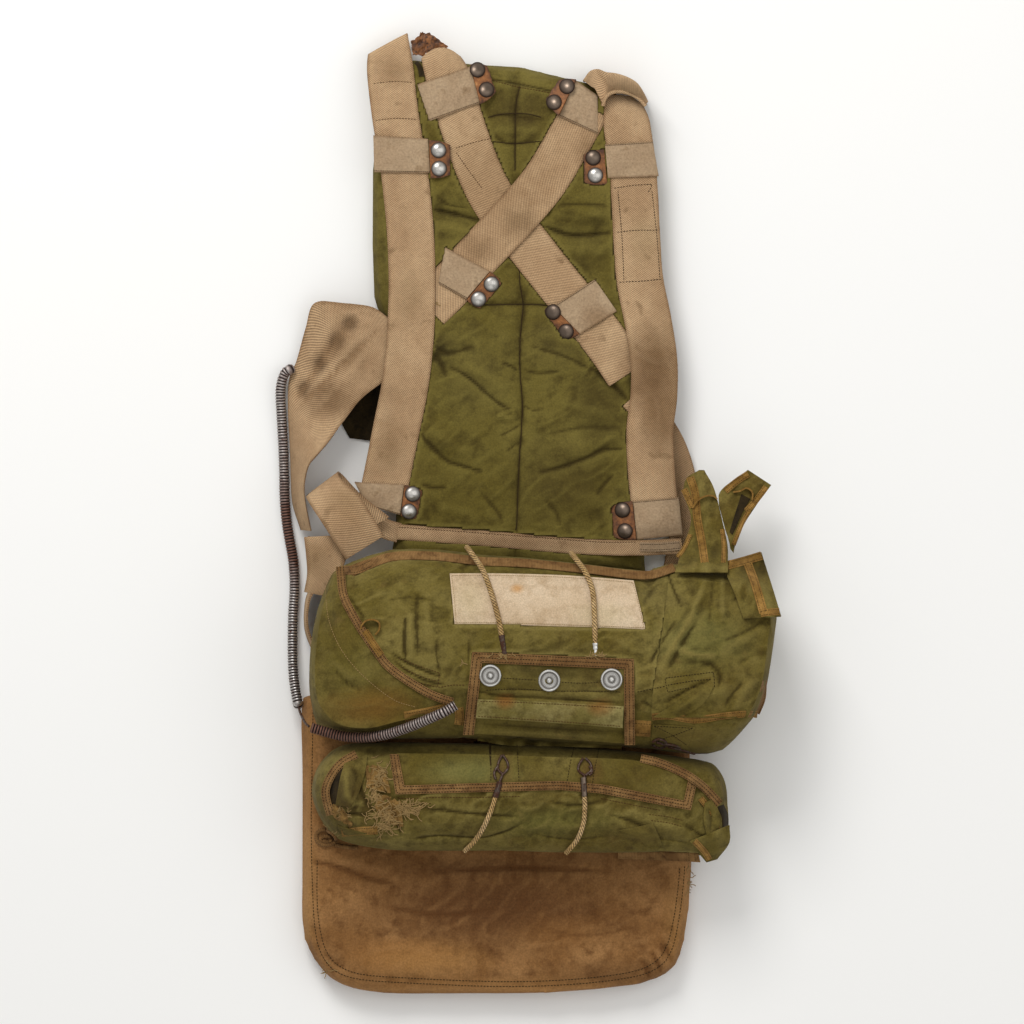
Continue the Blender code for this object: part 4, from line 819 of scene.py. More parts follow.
PAD_FOLDS = (  # height, width, then x, y along the fold
    (-2.3, 1.7, "520,84 516,104 515,140 515,172"), (-2.3, 1.7, "517,262 520,284 524,305 520.5,335 520,372 "
    "522.5,408 519,465 517,520 515.5,560"), (-2.5, 1.8, "470,75 491,79 520,84 547,90 575,98"), (-1.7, 1.7,
    "478,305 500,304.5 522,304 545,305 575,307"), (-1.4, 2.2, "484,120 500,114.5 520,117 545,119"), (-2.0,
    2.5, "494,136 510,143.5 536,140"), (1.8, 6, "488,128 510,130 545,131"), (-7.0, 4.5, "432,209 455,214 "
    "482,221"), (3.0, 7, "434,224 458,229 480,236"), (-2.0, 4, "436,196 450,205 470,208"), (-7.0, 4.5,
    "538,224 572,235 614,232"), (3.2, 7, "550,213 580,216 612,214"), (-2.2, 4, "552,205 585,204 612,206"),
    (2.2, 8, "556,248 590,250 612,248"), (-5.0, 7, "432,344 448,353 476,346"), (-6.5, 8, "432,352 441,364 "
    "446,378"), (-3.6, 3.2, "448,366 468,377 485,392 500,404 514,411"), (2.6, 7, "462,362 486,376 508,392"),
    (1.8, 3, "496,415 508,418 517,417"), (-2.0, 2.5, "500,362 511,366 519,372"), (-1.6, 2, "523,370 540,373 "
    "560,371"), (-3.4, 3.2, "417,430 432,447 446,460 462,466 484,472"), (2.4, 8, "428,428 448,444 474,454"),
    (-3.8, 3.6, "538,473 562,467 586,458 604,450 628,449"), (2.6, 8, "556,456 588,445 622,436"), (-2.2, 6,
    "548,434 580,428 622,428"), (1.8, 8, "552,400 585,408 615,418"), (-3.0, 5, "530,346 566,357 594,371"),
    (-8.0, 8, "590,366 608,380 630,402"), (2.4, 7, "536,334 570,340 592,352"), (-2.0, 3, "596,496 604,485 "
    "614,474"), (-1.6, 3, "484,497 497,511 503,524"), (-2.2, 3.5, "420,484 434,488 448,487"), (-1.8, 4,
    "545,500 556,512 560,526"), (1.4, 7, "436,506 462,512 480,522"), (-1.4, 2, "523,405 532,410 545,409"),
    (-1.4, 2, "500,436 512,430 521,424"), (-1.2, 2, "506,452 514,446 520,443"), (1.4, 9, "560,490 590,500 "
    "612,512"))
UPPER_FOLDS = (
    (-3.2, 1.6, "406,616 405,640 406,660"), (2.2, 4, "411,612 411,640 413,658"), (-2.0, 3, "350,596 357,607 "
    "366,618"), (-1.8, 3.5, "418,590 417,620 419,652"), (1.4, 5, "426,588 427,620 431,654"), (-1.8, 3.5,
    "438,636 437,654 441,676"), (-1.5, 3, "470,636 469,660 468,690"), (-1.2, 3, "388,600 410,597 436,600"),
    (-2.8, 2.2, "392,652 408,662 428,671 442,676"), (-2.0, 1.5, "391,655 405,668 425,679 446,684"), (-2.4, 4,
    "333,664 346,680 363,690"), (2.0, 7, "326,650 340,668 356,676"), (5.0, 4.5, "656,676 664,660 673,644 "
    "688,619 699,592 706,576"), (-3.2, 3.0, "649,664 656,650 664,636 676,618"), (-2.6, 3.5, "668,668 680,644 "
    "696,620"), (3.6, 4.0, "672,646 684,651 698,655 716,654"), (-5.0, 4.0, "698,662 710,664 718,674 716,688"),
    (-3.6, 2.4, "664,568 668,576 673,590 681,608"), (2.2, 5, "676,572 684,590 694,606"), (-2.6, 4, "712,576 "
    "710,600 708,626"), (2.4, 4, "722,572 721,594 722,622"), (-3.0, 4, "729,602 737,596 750,588"), (2.4, 6,
    "716,654 734,643 768,626"), (-3.0, 5, "722,640 742,632 766,618"), (3.2, 5, "732,710 744,690 760,676"),
    (-3.6, 4, "722,706 730,694 742,680"), (-3.8, 2.2, "663,702 680,692 696,684 710,679"), (2.6, 5, "668,708 "
    "692,698 716,692"), (-2.2, 4, "735,664 752,654 766,652"), (-1.6, 3, "640,700 652,706 662,712"), (1.4, 8,
    "560,640 600,645 640,640"))
LOWER_FOLDS = (
    (-3.4, 2.4, "404,838 440,834 480,836 505,830 524,821"), (2.6, 7, "398,846 440,843 486,845"), (-2.8, 3,
    "420,806 470,812 520,815"), (-2.0, 3, "530,832 570,838 610,834"), (1.8, 7, "520,822 560,826 606,820"),
    (-2.6, 3, "606,812 636,822 664,838"), (2.4, 6, "622,808 650,818 684,832"), (-3.4, 4, "696,798 708,812 "
    "716,832"), (-3, 4, "684,824 700,834 712,846"), (-6.0, 5, "332,776 331,792 337,808"), (4.0, 6, "346,760 "
    "346,784 356,806"), (-4.0, 4, "360,764 362,790 374,812"), (-1.5, 2, "548,800 575,804 600,800"), (-2.0, 3,
    "640,842 664,838 690,842"), (-4.0, 3, "386,800 396,816 402,836"), (-3.0, 3, "334,818 352,812 372,816"))
CUSHION_FOLDS = (
    (-2.6, 3, "312,862 340,868 366,878 396,884"), (1.8, 8, "330,862 370,866 402,876"), (-2.2, 3, "650,950 "
    "657,962 662,975"), (-2.0, 3, "664,944 669,956 674,966"), (-1.6, 3, "640,958 646,968 650,980"), (1.6, 6,
    "656,948 664,960 668,974"), (-1.6, 4, "430,872 520,868 620,872"), (-1.4, 5, "380,905 440,915 500,908"),
    (-1.6, 3, "322,952 334,962 348,970"), (-1.2, 5, "540,930 590,936 640,926"))


# Soft goods

def swollen(name, node, voxel, cap, pressure=4.0, shrink=2.0):
    """A filled piece from its CAD solid: remeshed, drawn in, blown up as cloth under pressure, and capped."""
    source = frame["nodes"][node]
    piece = bpy.data.objects.new(name, source.data.copy())
    piece.data.name = name
    bpy.context.scene.collection.objects.link(piece)
    in_edit_mode(piece, bpy.ops.mesh.remove_doubles, threshold=1e-6)
    apply_modifier(piece, "REMESH", mode="VOXEL", voxel_size=voxel * MM)
    start = places_of(piece)
    drawn_in = start - normals_of(piece) * shrink * MM
    move_to(piece, drawn_in)
    cloth = piece.modifiers.new("Cloth", "CLOTH")
    cloth.settings.use_pressure = True
    cloth.settings.uniform_pressure_force = pressure
    cloth.settings.effector_weights.gravity = 0
    cloth.point_cache.frame_end = SETTLE_FRAMES
    scene = bpy.context.scene
    for number in range(1, SETTLE_FRAMES + 1):
        scene.frame_set(number)
    bpy.ops.object.modifier_apply(modifier=cloth.name)
    scene.frame_set(1)
    moved = places_of(piece) - drawn_in
    far = np.linalg.norm(moved, axis=1)[:, None]
    moved *= np.minimum(1, cap * MM / np.maximum(far, 1e-9))
    places = drawn_in + moved
    low, high = places.min(axis=0), places.max(axis=0)
    want_low, want_high = start.min(axis=0), start.max(axis=0)
    fit = (want_high - want_low) / (high - low)
    places[:, :2] = want_low[:2] + (places[:, :2] - low[:2]) * fit[:2]
    places[:, 2] = np.maximum(places[:, 2], 0.0002)
    move_to(piece, places)
    apply_modifier(piece, "SUBSURF", levels=1, render_levels=1)
    return piece


def fold_cloth(piece, table, wrinkles, lowest=0.15):
    """Presses a table of folds, and fine wrinkles, into the upper side of a filled piece."""
    places = sheet_places(places_of(piece))
    upward = np.clip((normals_of(piece)[:, 2] - lowest) / 0.5, 0, 1)
    x, y = places[:, 0], places[:, 1]
    rise = creases(x, y, table)
    for wavelength, turn, amount, seed in wrinkles:
        rise += crumple(x, y, wavelength, turn, amount, seed)
    places[:, 2] += rise * upward
    places[:, 2] = np.maximum(places[:, 2], 0.2)
    move_to(piece, world(places))


def tucked_under(piece, above, clear=0.5, deepest=16.0):
    """Presses a filled piece down where a sheet lies on it."""
    places = sheet_places(places_of(piece))
    upward = normals_of(piece)[:, 2]
    carrier = Carrier(*above)
    for number in np.flatnonzero(upward > -0.2):
        x, y, z = places[number]
        under = carrier.cast(x, y, down=False)
        if not math.isnan(under) and under - clear < z < under + deepest:
            places[number, 2] = under - clear
    move_to(piece, world(places))


def stitch_master():
    bpy.ops.object.select_all(action="DESELECT")
    bpy.ops.mesh.primitive_ico_sphere_add(subdivisions=1, radius=0.5)
    master = bpy.context.object
    verts = places_of(master)
    faces = [tuple(face.vertices) for face in master.data.polygons]
    bpy.data.objects.remove(master)
    return verts, faces


def sewn(name, lines, finish_kind, slot, pitch=3.0, thread=0.9):
    """Rows of stitches along lines of sheet places with heights."""
    verts, faces = stitch_master()
    faces = np.array(faces)
    all_verts, all_faces, count = [], [], 0
    for line in lines:
        line = np.asarray(line, float)
        length = run_of(line)[-1]
        number = max(int(length / pitch), 1)
        starts = spread(line, np.linspace(0, 1, number + 1))
        for a, b in zip(starts, starts[1:]):
            run = b - a
            size = np.linalg.norm(run)
            if size < 1e-6:
                continue
            run /= size
            side = np.cross(run, (0, 0, 1))
            side /= max(np.linalg.norm(side), 1e-6)
            up = np.cross(side, run)
            middle = (a + b) / 2
            shaped = (verts[:, :1] * run * size * 0.86 + verts[:, 1:2] * side * thread
                      + verts[:, 2:] * up * thread * 0.8)
            all_verts.append(world(middle + shaped))
            all_faces.append(faces + count)
            count += len(verts)
    piece = built(name, all_verts, np.concatenate(all_faces).tolist(), 80)
    return finished(piece, finish(finish_kind), slot)


def strands(name, lines, radius, kind, slot, sides=5):
    """Threads and fibres: thin round strands along lines of sheet places."""
    turn = np.arange(sides) * 2 * math.pi / sides
    verts, faces, base = [], [], 0
    for line in lines:
        line = np.asarray(line, float)
        run = np.gradient(line, axis=0)
        run /= np.maximum(np.linalg.norm(run, axis=1), 1e-9)[:, None]
        side = np.cross(run, (0.05, 0.02, 1.0))
        side /= np.maximum(np.linalg.norm(side, axis=1), 1e-9)[:, None]
        lift = np.cross(side, run)
        ring = line[:, None] + radius * (np.cos(turn)[None, :, None] * side[:, None]
                                         + np.sin(turn)[None, :, None] * lift[:, None])
        verts.append(world(ring.reshape(-1, 3)))
        for row in range(len(line) - 1):
            for place in range(sides):
                after = (place + 1) % sides
                faces.append((base + row * sides + place, base + row * sides + after,
                              base + (row + 1) * sides + after, base + (row + 1) * sides + place))
        last = base + (len(line) - 1) * sides
        faces.append(tuple(base + place for place in reversed(range(sides))))
        faces.append(tuple(last + place for place in range(sides)))
        base += len(line) * sides
    return finished(built(name, verts, faces, 60), finish(kind), slot)


def frayed(carrier, centre, spread_mm, count, length, seed, lift=0.8, turn=0.0, wander=1.0):
    """Lines of loose fibres about a place, seeded, each with its own curl."""
    draw = np.random.default_rng(seed)
    lines = []
    for _ in range(count):
        x = centre[0] + draw.normal(0, spread_mm[0])
        y = centre[1] + draw.normal(0, spread_mm[1])
        angle = math.radians(turn) + draw.normal(0, wander)
        size = length * draw.uniform(0.5, 1.4)
        line = []
        for step in range(6):
            z = carrier.cast(x, y)
            line.append((x, y, z))
            angle += draw.normal(0, 0.45)
            x += math.cos(angle) * size / 5
            y += math.sin(angle) * size / 5
        line = np.array(line)
        known = ~np.isnan(line[:, 2])
        if known.sum() < 2:
            continue
        line[:, 2] = bridged(line[:, 2])
        line[:, 2] += lift * draw.uniform(0.3, 1.6) * np.sin(np.linspace(0.4, 2.6, 6))
        lines.append(rail(line, 2))
    return lines


def column_line(name, part, inset=0.0):
    """The line at a fraction of the way across a laid sheet."""
    net = NETS[name]
    place = part * (net.shape[1] - 1)
    low = min(int(place), net.shape[1] - 2)
    line = net[:, low] * (1 - place + low) + net[:, low + 1] * (place - low)
    cut = int(inset * len(line))
    return line[cut:len(line) - cut] + (0, 0, 0.15)


def drawn_on(carrier, points, lift=0.2, smooth=True):
    """A line of sheet places laid on what is below."""
    line = rail(points, 6, smooth)
    line = spread(line, np.linspace(0, 1, max(int(run_of(line)[-1] / 2), 3)))
    heights = bridged(np.array([carrier.cast(x, y) for x, y in line]))
    return np.column_stack([line, heights + lift])


def strip_on(name, carrier, centre, width, thick, kind, slot, smooth=True, declare=True):
    """A tape laid along a line on what is below."""
    line = rail(centre, 6, smooth)
    count = max(int(run_of(line)[-1] / 2.5), 4)
    line = spread(line, np.linspace(0, 1, count))
    left, right = edges_of(line, width)
    net = laid(net_between(left, right, 5), carrier, lift=thick + 0.25)
    if declare:
        return cloth_sheet(name, net, thick, finish(kind), slot)
    piece = from_net(name, net)
    apply_modifier(piece, "SOLIDIFY", thickness=thick * MM, offset=-1)
    smooth_faces(piece)
    NETS[name] = net
    return finished(piece, finish(kind), slot)


# What each button makes

class ParachuteSizes(bpy.types.PropertyGroup):
    webbing_thickness: bpy.props.FloatProperty(
        name="Webbing thickness", description="Thickness of the harness webbing", default=0.0022, unit="LENGTH")
    cloth_thickness: bpy.props.FloatProperty(
        name="Cloth thickness", description="Thickness of the pack's flaps", default=0.0016, unit="LENGTH")
    tape_thickness: bpy.props.FloatProperty(
        name="Tape thickness", description="Thickness of the binding tape", default=0.0013, unit="LENGTH")
    hose_diameter: bpy.props.FloatProperty(
        name="Hose diameter", description="Outside diameter of the ripcord hose", default=0.0106, unit="LENGTH")
    hose_pitch: bpy.props.FloatProperty(
        name="Hose pitch", description="Distance from one turn of the hose to the next", default=0.0029,
        unit="LENGTH")
    stud_radius: bpy.props.FloatProperty(
        name="Stud radius", description="Radius of the press studs on the leather tabs", default=0.0076,
        unit="LENGTH")


def sizes():
    return bpy.context.scene.parachute_sizes


class PARACHUTE_OT_stage(bpy.types.Operator):
    """Adds the pale floor, the studio lights and the camera"""
    bl_idname = "parachute.stage"
    bl_label = "Stage"

    def execute(self, context):
        bpy.ops.mesh.primitive_plane_add(size=12, location=(0, 0, -0.0012))
        floor = context.object
        floor.name = "floor"
        material, _, shader = blank("pale_floor", 0.95, Specular_IOR_Level=0.05)
        shader.inputs["Base Color"].default_value = rgba("f2f1ee")
        floor.data.materials.append(material)
        for name, place, size, power in (
                ("key", (-0.9, 2.2, 2.3), 1.4, 62.0), ("fill", (1.9, 0.2, 2.4), 2.2, 12.0),
                ("front", (0.2, -2.2, 2.2), 2.0, 6.0), ("top", (0, 0.2, 3.2), 2.6, 10.0)):
            lamp = bpy.data.lights.new(name, "AREA")
            lamp.size = size
            lamp.energy = power
            item = bpy.data.objects.new(name, lamp)
            item.location = place
            item.rotation_euler = (Vector((0, -0.05, 0.05)) - Vector(place)).to_track_quat("-Z", "Y").to_euler()
            context.scene.collection.objects.link(item)
        sky = bpy.data.worlds.new("studio")
        sky.use_nodes = True
        sky.node_tree.nodes["Background"].inputs[0].default_value = (1, 1, 1, 1)
        sky.node_tree.nodes["Background"].inputs[1].default_value = 0.5
        context.scene.world = sky
        context.scene.view_settings.view_transform = "Standard"
        far, plane = 14.0, 0.045
        camera = bpy.data.cameras.new("camera")
        camera.sensor_width = 36
        camera.lens = 36 * (far - plane) / 1.024
        camera.clip_end = 100
        item = bpy.data.objects.new("camera", camera)
        item.location = (-0.022, 0.0015, far)
        context.scene.collection.objects.link(item)
        context.scene.camera = item
        return {"FINISHED"}


def cord_line(node, route, diameter, spacing):
    """The middle line of a cord that lies where its CAD node does."""
    line = rail(route, 16)
    line = spread(line, np.linspace(0, 1, int(run_of(line)[-1] / spacing) + 1))
    carrier = Carrier(frame["nodes"][node])
    heights = bridged(np.array([carrier.cast(x, y) for x, y in line]) - diameter / 2)
    heights = np.convolve(np.pad(heights, 4, mode="edge"), np.ones(9) / 9, "valid")
    return np.column_stack([line, heights])


def mark_grooves(piece, line, radius):
    """Stores how deep each place of a wound hose lies in its grooves, where dirt and rust stay."""
    places = sheet_places(places_of(piece))
    deep = np.empty(len(places))
    for start in range(0, len(places), 2000):
        part = places[start:start + 2000]
        near = np.linalg.norm(part[:, None] - line[None], axis=2).min(axis=1)
        deep[start:start + 2000] = np.clip((radius - near) / 1.0, 0, 1)
    store(piece, "fold", -deep)


class PARACHUTE_OT_hoses(bpy.types.Operator):
    """Makes the two lengths of wound steel hose and the cable between them"""
    bl_idname = "parachute.hoses"
    bl_label = "Ripcord hoses"

    def execute(self, context):
        diameter, pitch = sizes().hose_diameter / MM, sizes().hose_pitch / MM
        bright = {
            "side_hose": ((0, 0.5), (0.2, 0.75), (0.45, 0.6), (0.58, 0.1), (0.76, 0.06), (0.84, 0.75), (1, 0.9)),
            "front_hose": ((0, 0.05), (0.4, 0.1), (0.55, 0.18), (0.7, 0.42), (0.9, 0.5), (1, 0.6)),
        }
        for name, route in HOSES.items():
            line = cord_line(name, route, diameter, pitch / 6)
            along = run_of(line)
            wave = np.abs(np.sin(math.pi * along / pitch)) ** 0.7
            radii = diameter / 2 - 1.2 * (1 - wave)
            piece = tube_mesh("wound_" + name, line, radii, 16)
            mark_grooves(piece, line, diameter / 2)
            finished(piece, hose_finish("steel_" + name, along[-1] * MM, bright[name]), "hose_steel", name)
            path = world(line[::10])
            path = np.vstack([path, world(line[-1:])]) if (len(line) - 1) % 10 else path
            if name == "side_hose":
                cable = frame["nodes"]["ripcord_cable"]
                places = sheet_places(places_of(cable))
                first, last = np.array([298.0, 706.0]), np.array([312.0, 727.0])
                part = (places[:, :2] - first) @ (last - first) / ((last - first) @ (last - first))
                spots = [places[np.abs(part - p) < 0.09].mean(axis=0) for p in np.linspace(0.1, 0.9, 7)]
                thin = tube_mesh("bare_cable", spread(rail(spots, 4), np.linspace(0, 1, 30)), 1.2, 10)
                finished(thin, finish("rusty"), "steel", "ripcord_cable")
        return {"FINISHED"}


class PARACHUTE_OT_elastics(bpy.types.Operator):
    """Makes the four braided elastic cords"""
    bl_idname = "parachute.elastics"
    bl_label = "Elastic cords"

    def execute(self, context):
        for name, (diameter, route) in ELASTICS.items():
            line = cord_line(name, route, diameter, 1.0)
            along = run_of(line)
            radii = diameter / 2 * (1 + 0.04 * np.sin(along * 2 * math.pi / 3.1))
            piece = tube_mesh("braided_" + name, line, radii, 12)
            CORD_LINES[name] = line
            finished(piece, finish("elastic"), "elastic", name)
        return {"FINISHED"}


class PARACHUTE_OT_harness(bpy.types.Operator):
    """Makes the harness straps, the belt, the folded bands and the keepers"""
    bl_idname = "parachute.harness"
    bl_label = "Harness webbing"

    def execute(self, context):
        thick = sizes().webbing_thickness / MM
        for name, (width, centre) in STRAPS.items():
            line = rail(centre, 10)
            count = int(run_of(line)[-1] / 3.5)
            line = spread(line, np.linspace(0, 1, count))
            left, right = edges_of(line, width)
            columns = 15 if width > 20 else 7
            net = net_between(left, right, columns)
            along = run_of(line)
            if name in STRAP_TOPS:
                top = spread(marks(STRAP_TOPS[name]), np.linspace(1, 0, columns))
                part = np.clip(1 - along / 34, 0, 1)[:, None, None] ** 1.5
                net = net + (top[None] - net[:1]) * part
            net = laid(net, Carrier(frame["nodes"][name]), rounds=3)
            x, y = net[..., 0], net[..., 1]
            net[..., 2] += crumple(x, y, 46, 20, 0.45, 7) + creases(x, y, STRAP_FOLDS) - 0.35
            if name in STRAP_TOPS:
                net[..., 2] -= 4.0 * np.clip(1 - along / 9, 0, 1)[:, None] ** 2
                back = np.repeat(net[:1], 4, axis=0)
                for step, (slip, height) in enumerate(((3.0, 0.25), (1.2, 0.5), (0.2, 0.78))):
                    back[step, :, 1] += slip
                    back[step, :, 2] = 3 + (net[0, :, 2] - 3) * height
                net = np.vstack([back[:3], net])
            cloth_sheet(name + "_webbing", net, thick, finish("webbing"), "webbing", name)
        for name, corners in KEEPERS.items():
            a, b, c, d = marks(corners)
            net = net_between(spread(np.array([a, b]), np.linspace(0, 1, 25)),
                              spread(np.array([d, c]), np.linspace(0, 1, 25)), 15)
            net = laid(net, Carrier(frame["nodes"][name]), rounds=4)
            down = np.linspace(0, 1, 25)[:, None] * np.linalg.norm(b - a)
            across = np.linspace(0, 1, 15)[None, :]
            net[..., 2] -= 1.6 * np.exp(-down / 1.5) + 0.3
            net[..., 2] += crumple(net[..., 0], net[..., 1], 20, 60, 0.25, 4) + 0.5 * np.sin(across * math.pi)
            cloth_sheet(name + "_loop", net, sizes().cloth_thickness / MM, finish("keeper"), "keeper_cloth", name)
        # The band's back layer lies in deep shade and takes the dark finish, as painted shade.
        for name, outer, inner, columns, kind, sheet_thick in (
                ("side_band", BAND_OUTER, BAND_INNER, 22, "webbing", thick),
                ("side_band_back", BAND_BACK_OUTER, BAND_BACK_INNER, 14, "dark", sizes().cloth_thickness / MM)):
            left, right = rail(outer, 8)[:, :2], rail(inner, 8)[:, :2]
            net = laid(net_between(left, right, columns), Carrier(frame["nodes"][name]), rounds=3)
            if name == "side_band":
                x, y = net[..., 0], net[..., 1]
                net[..., 2] += creases(x, y, BAND_FOLDS) + crumple(x, y, 38, 40, 0.5, 3)
            cloth_sheet(name + "_webbing", net, sheet_thick, finish(kind), "webbing", name)
        cap = net_between(rail(CAP_OUTER, 7), rail(CAP_INNER, 7), 11)
        under = Carrier("shoulder_strap_right_webbing", frame["nodes"]["shoulder_cap"])
        heights = evened(filled_in(under.heights(cap)), 6)
        cap = np.dstack([cap[..., :2], heights + 2.6 + 2.2 * np.sin(np.linspace(0, math.pi, 11))[None, :]])
        cap[..., 2] = np.maximum(cap[..., 2], 42)
        skirt = cap[:, :1].copy()
        skirt[..., 2] = 4
        cap = np.concatenate([skirt, cap[:, :1] * (1, 1, 0.6), cap], axis=1)
        cloth_sheet("shoulder_cap_webbing", cap, thick, finish("webbing"), "webbing", "shoulder_cap")
        belt = NETS["waist_belt_webbing"]
        line = np.array([(368, 522, 0), (378, 526, 0), (388, 530, 0), (399, 533, 0)], float)
        left, right = edges_of(spread(line, np.linspace(0, 1, 12)), 20)
        net = net_between(left, right, 7)
        net[..., 2] = belt[0, :, 2].mean() - 3.0
        cloth_sheet("belt_end", net, thick, finish("webbing"), "webbing")
        net = net_between(rail(HIP_GUSSET[0], 7), rail(HIP_GUSSET[1], 7), 9)
        cloth_sheet("hip_gusset", net, thick, finish("webbing"), "webbing")
        for name, first, second in (("side_loop", SIDE_LOOP_LEFT, SIDE_LOOP_RIGHT),
                                    ("hip_loop", HIP_LOOP_FOOT, HIP_LOOP_HEAD)):
            net = net_between(rail(first, 8), rail(second, 8), 13)
            tree = Carrier(frame["nodes"][name]).tree
            places = world(net)
            for row in range(net.shape[0]):
                for column in range(net.shape[1]):
                    hit = tree.find_nearest(Vector(places[row, column]))
                    near = np.array(hit[0]) - np.array(hit[1]) * thick / 2 * MM
                    places[row, column] = near if hit[3] > thick * 0.6 * MM else places[row, column]
            net = sheet_places(places)
            down = np.gradient(net, axis=0)
            across = np.gradient(net, axis=1)
            up = np.cross(across, down)
            up /= np.linalg.norm(up, axis=2)[..., None]
            outside = -1 if name == "hip_loop" else 1
            cloth_sheet(name + "_webbing", net + up * thick / 2 * outside, thick, finish("webbing"), "webbing", name)
        return {"FINISHED"}


STRAP_TOPS = {  # the upper end of a strap where it turns over, from its left edge to its right
    "shoulder_strap_left": "367.5,53.5 376,48.5 386,43 396,37.5 407,32",
    "cross_strap_left": "421,58 426,52.5 434,48 443,46 452,49.5 461,56",
    "shoulder_strap_right": "606,98 610,95 620,94 632,96 642,103",
}
STRAP_FOLDS = (  # height, width, then x, y along the fold
    (-0.8, 1.6, "370,82 395,79 413,80"), (-0.8, 1.6, "373,120 395,118 416,118"), (-1.2, 3.0, "500,190 520,205 "
    "540,200"), (0.9, 6, "520,180 545,196 566,190"), (0.8, 7, "640,300 654,320 670,340"), (-1.0, 4, "628,352 "
    "650,366 676,372"), (0.8, 8, "392,330 410,350 428,370"), (-0.9, 3.5, "372,418 394,428 412,440"), (-0.8, 2,
    "396,528 396,546"), (-0.9, 3, "456,128 470,136 490,138"))
BAND_FOLDS = (
    (-5.0, 5, "356,316 338,338 316,370 294,402"), (3.0, 8, "336,312 322,336 304,366"), (-2.6, 1.6, "382,325 "
    "356,352 322,384 296,410"), (2.4, 6, "366,330 342,356 310,388"), (1.6, 6, "372,345 346,376 312,412"),
    (-1.2, 2, "330,304 352,309 374,314"))


def stud_mesh(name, place, radius, profile, tilt, wear_and_shading, sides=24):
    """A lathe-turned stud head, set square on what it is fixed to; a table darkens rings of it, as painted shade."""
    turn = np.linspace(0, 2 * math.pi, sides + 1)
    net = np.stack([np.column_stack([np.cos(turn) * radius * part, -np.sin(turn) * radius * part,
                                     np.full(sides + 1, rise)]) for part, rise in profile])
    net[..., 2] += net[..., :2] @ np.asarray(tilt)
    net = net + np.array(place)
    piece = from_net(name, net)
    closed_up(piece, POLE)
    places = sheet_places(places_of(piece)) - np.array(place)
    out = np.hypot(places[:, 0], places[:, 1]) / radius
    # Painted shade on the head's rings, from the table.
    store(piece, "fold", -np.interp(out, *zip(*wear_and_shading)))
    smooth_faces(piece, 35)
    return piece


DOME_SHADE = ((0.0, 0.0), (0.55, 0.1), (0.8, 0.45), (0.95, 0.95), (1.1, 1.0))  # part of the radius, painted shade: the dome darkens towards its rim
# Painted shade on the closure studs, by part of the radius: dark grooves and a darker inner disc.
FLAP_STUD_SHADE = (
    (0.0, 0.0), (0.2, 0.1), (0.27, 0.9), (0.36, 0.5), (0.5, 0.25), (0.62, 0.4), (0.72, 0.85), (0.8, 0.8), (0.86, 0.1),
    (0.96, 0.05), (1.02, 0.6))


class PARACHUTE_OT_tabs(bpy.types.Operator):
    """Makes the leather tabs with their press studs"""
    bl_idname = "parachute.tabs"
    bl_label = "Leather tabs and studs"

    def execute(self, context):
        radius = sizes().stud_radius / MM
        profile = ((0.0, -1.5), (1.0, -1.5), (1.04, 0.2), (1.0, 0.9), (0.9, 1.7), (0.72, 2.6), (0.5, 3.3),
                   (0.25, 3.8), (0.02, 4.0))
        for number, (name, (a, b, c, d, first, second)) in enumerate(TABS.items()):
            a, b, c, d = [np.array(corner, float) for corner in (a, b, c, d)]
            node = frame["nodes"][name]
            tops = sheet_places(places_of(node))
            corners = np.array([a, b, c, d])
            near = [tops[np.argsort(np.hypot(*(tops[:, :2] - corner).T))[:2], 2].max() for corner in corners]
            columns = np.column_stack([corners, np.ones(4)])
            slope = np.linalg.lstsq(columns, np.array(near), rcond=None)[0]
            left = spread(np.array([a, b]), np.linspace(0, 1, 15))
            right = spread(np.array([d, c]), np.linspace(0, 1, 15))
            net = net_between(left, right, 17)
            u = np.linspace(-1, 1, 17)[None, :]
            v = np.linspace(0, 1, 15)[:, None]
            pull = (np.abs(u) ** 4) * (v ** 3)
            middle = net[:, 8:9]
            net = net + (middle - net) * 0.2 * pull[..., None]
            draw = np.random.default_rng(number)
            net[-1] += draw.uniform(-0.5, 0.5, (17, 2))
            heights = net @ slope[:2] + slope[2] + crumple(net[..., 0], net[..., 1], 9, 30, 0.12, number) - 0.15
            grime = np.clip(np.abs(u) ** 6 + v ** 8, 0, 1) * draw.uniform(0.3, 1.0, (15, 17))
            piece = from_net(name + "_leather", np.dstack([net, heights]), grime=grime)
            apply_modifier(piece, "SOLIDIFY", thickness=0.0023, offset=-1)
            apply_modifier(piece, "BEVEL", width=0.0007, segments=2, limit_method="ANGLE",
                           angle_limit=math.radians(50))
            smooth_faces(piece)
            finished(piece, finish("leather"), "leather", name)
            NETS[name] = np.dstack([net, heights])
            for mark, (x, y, shiny) in enumerate((first, second)):
                z = slope @ (x, y, 1)
                stud = stud_mesh(f"{name}_stud_{mark}", (x, y, z), radius, profile, slope[:2], DOME_SHADE)
                finished(stud, finish("nickel" if shiny else "dull_nickel"), "nickel")
        return {"FINISHED"}


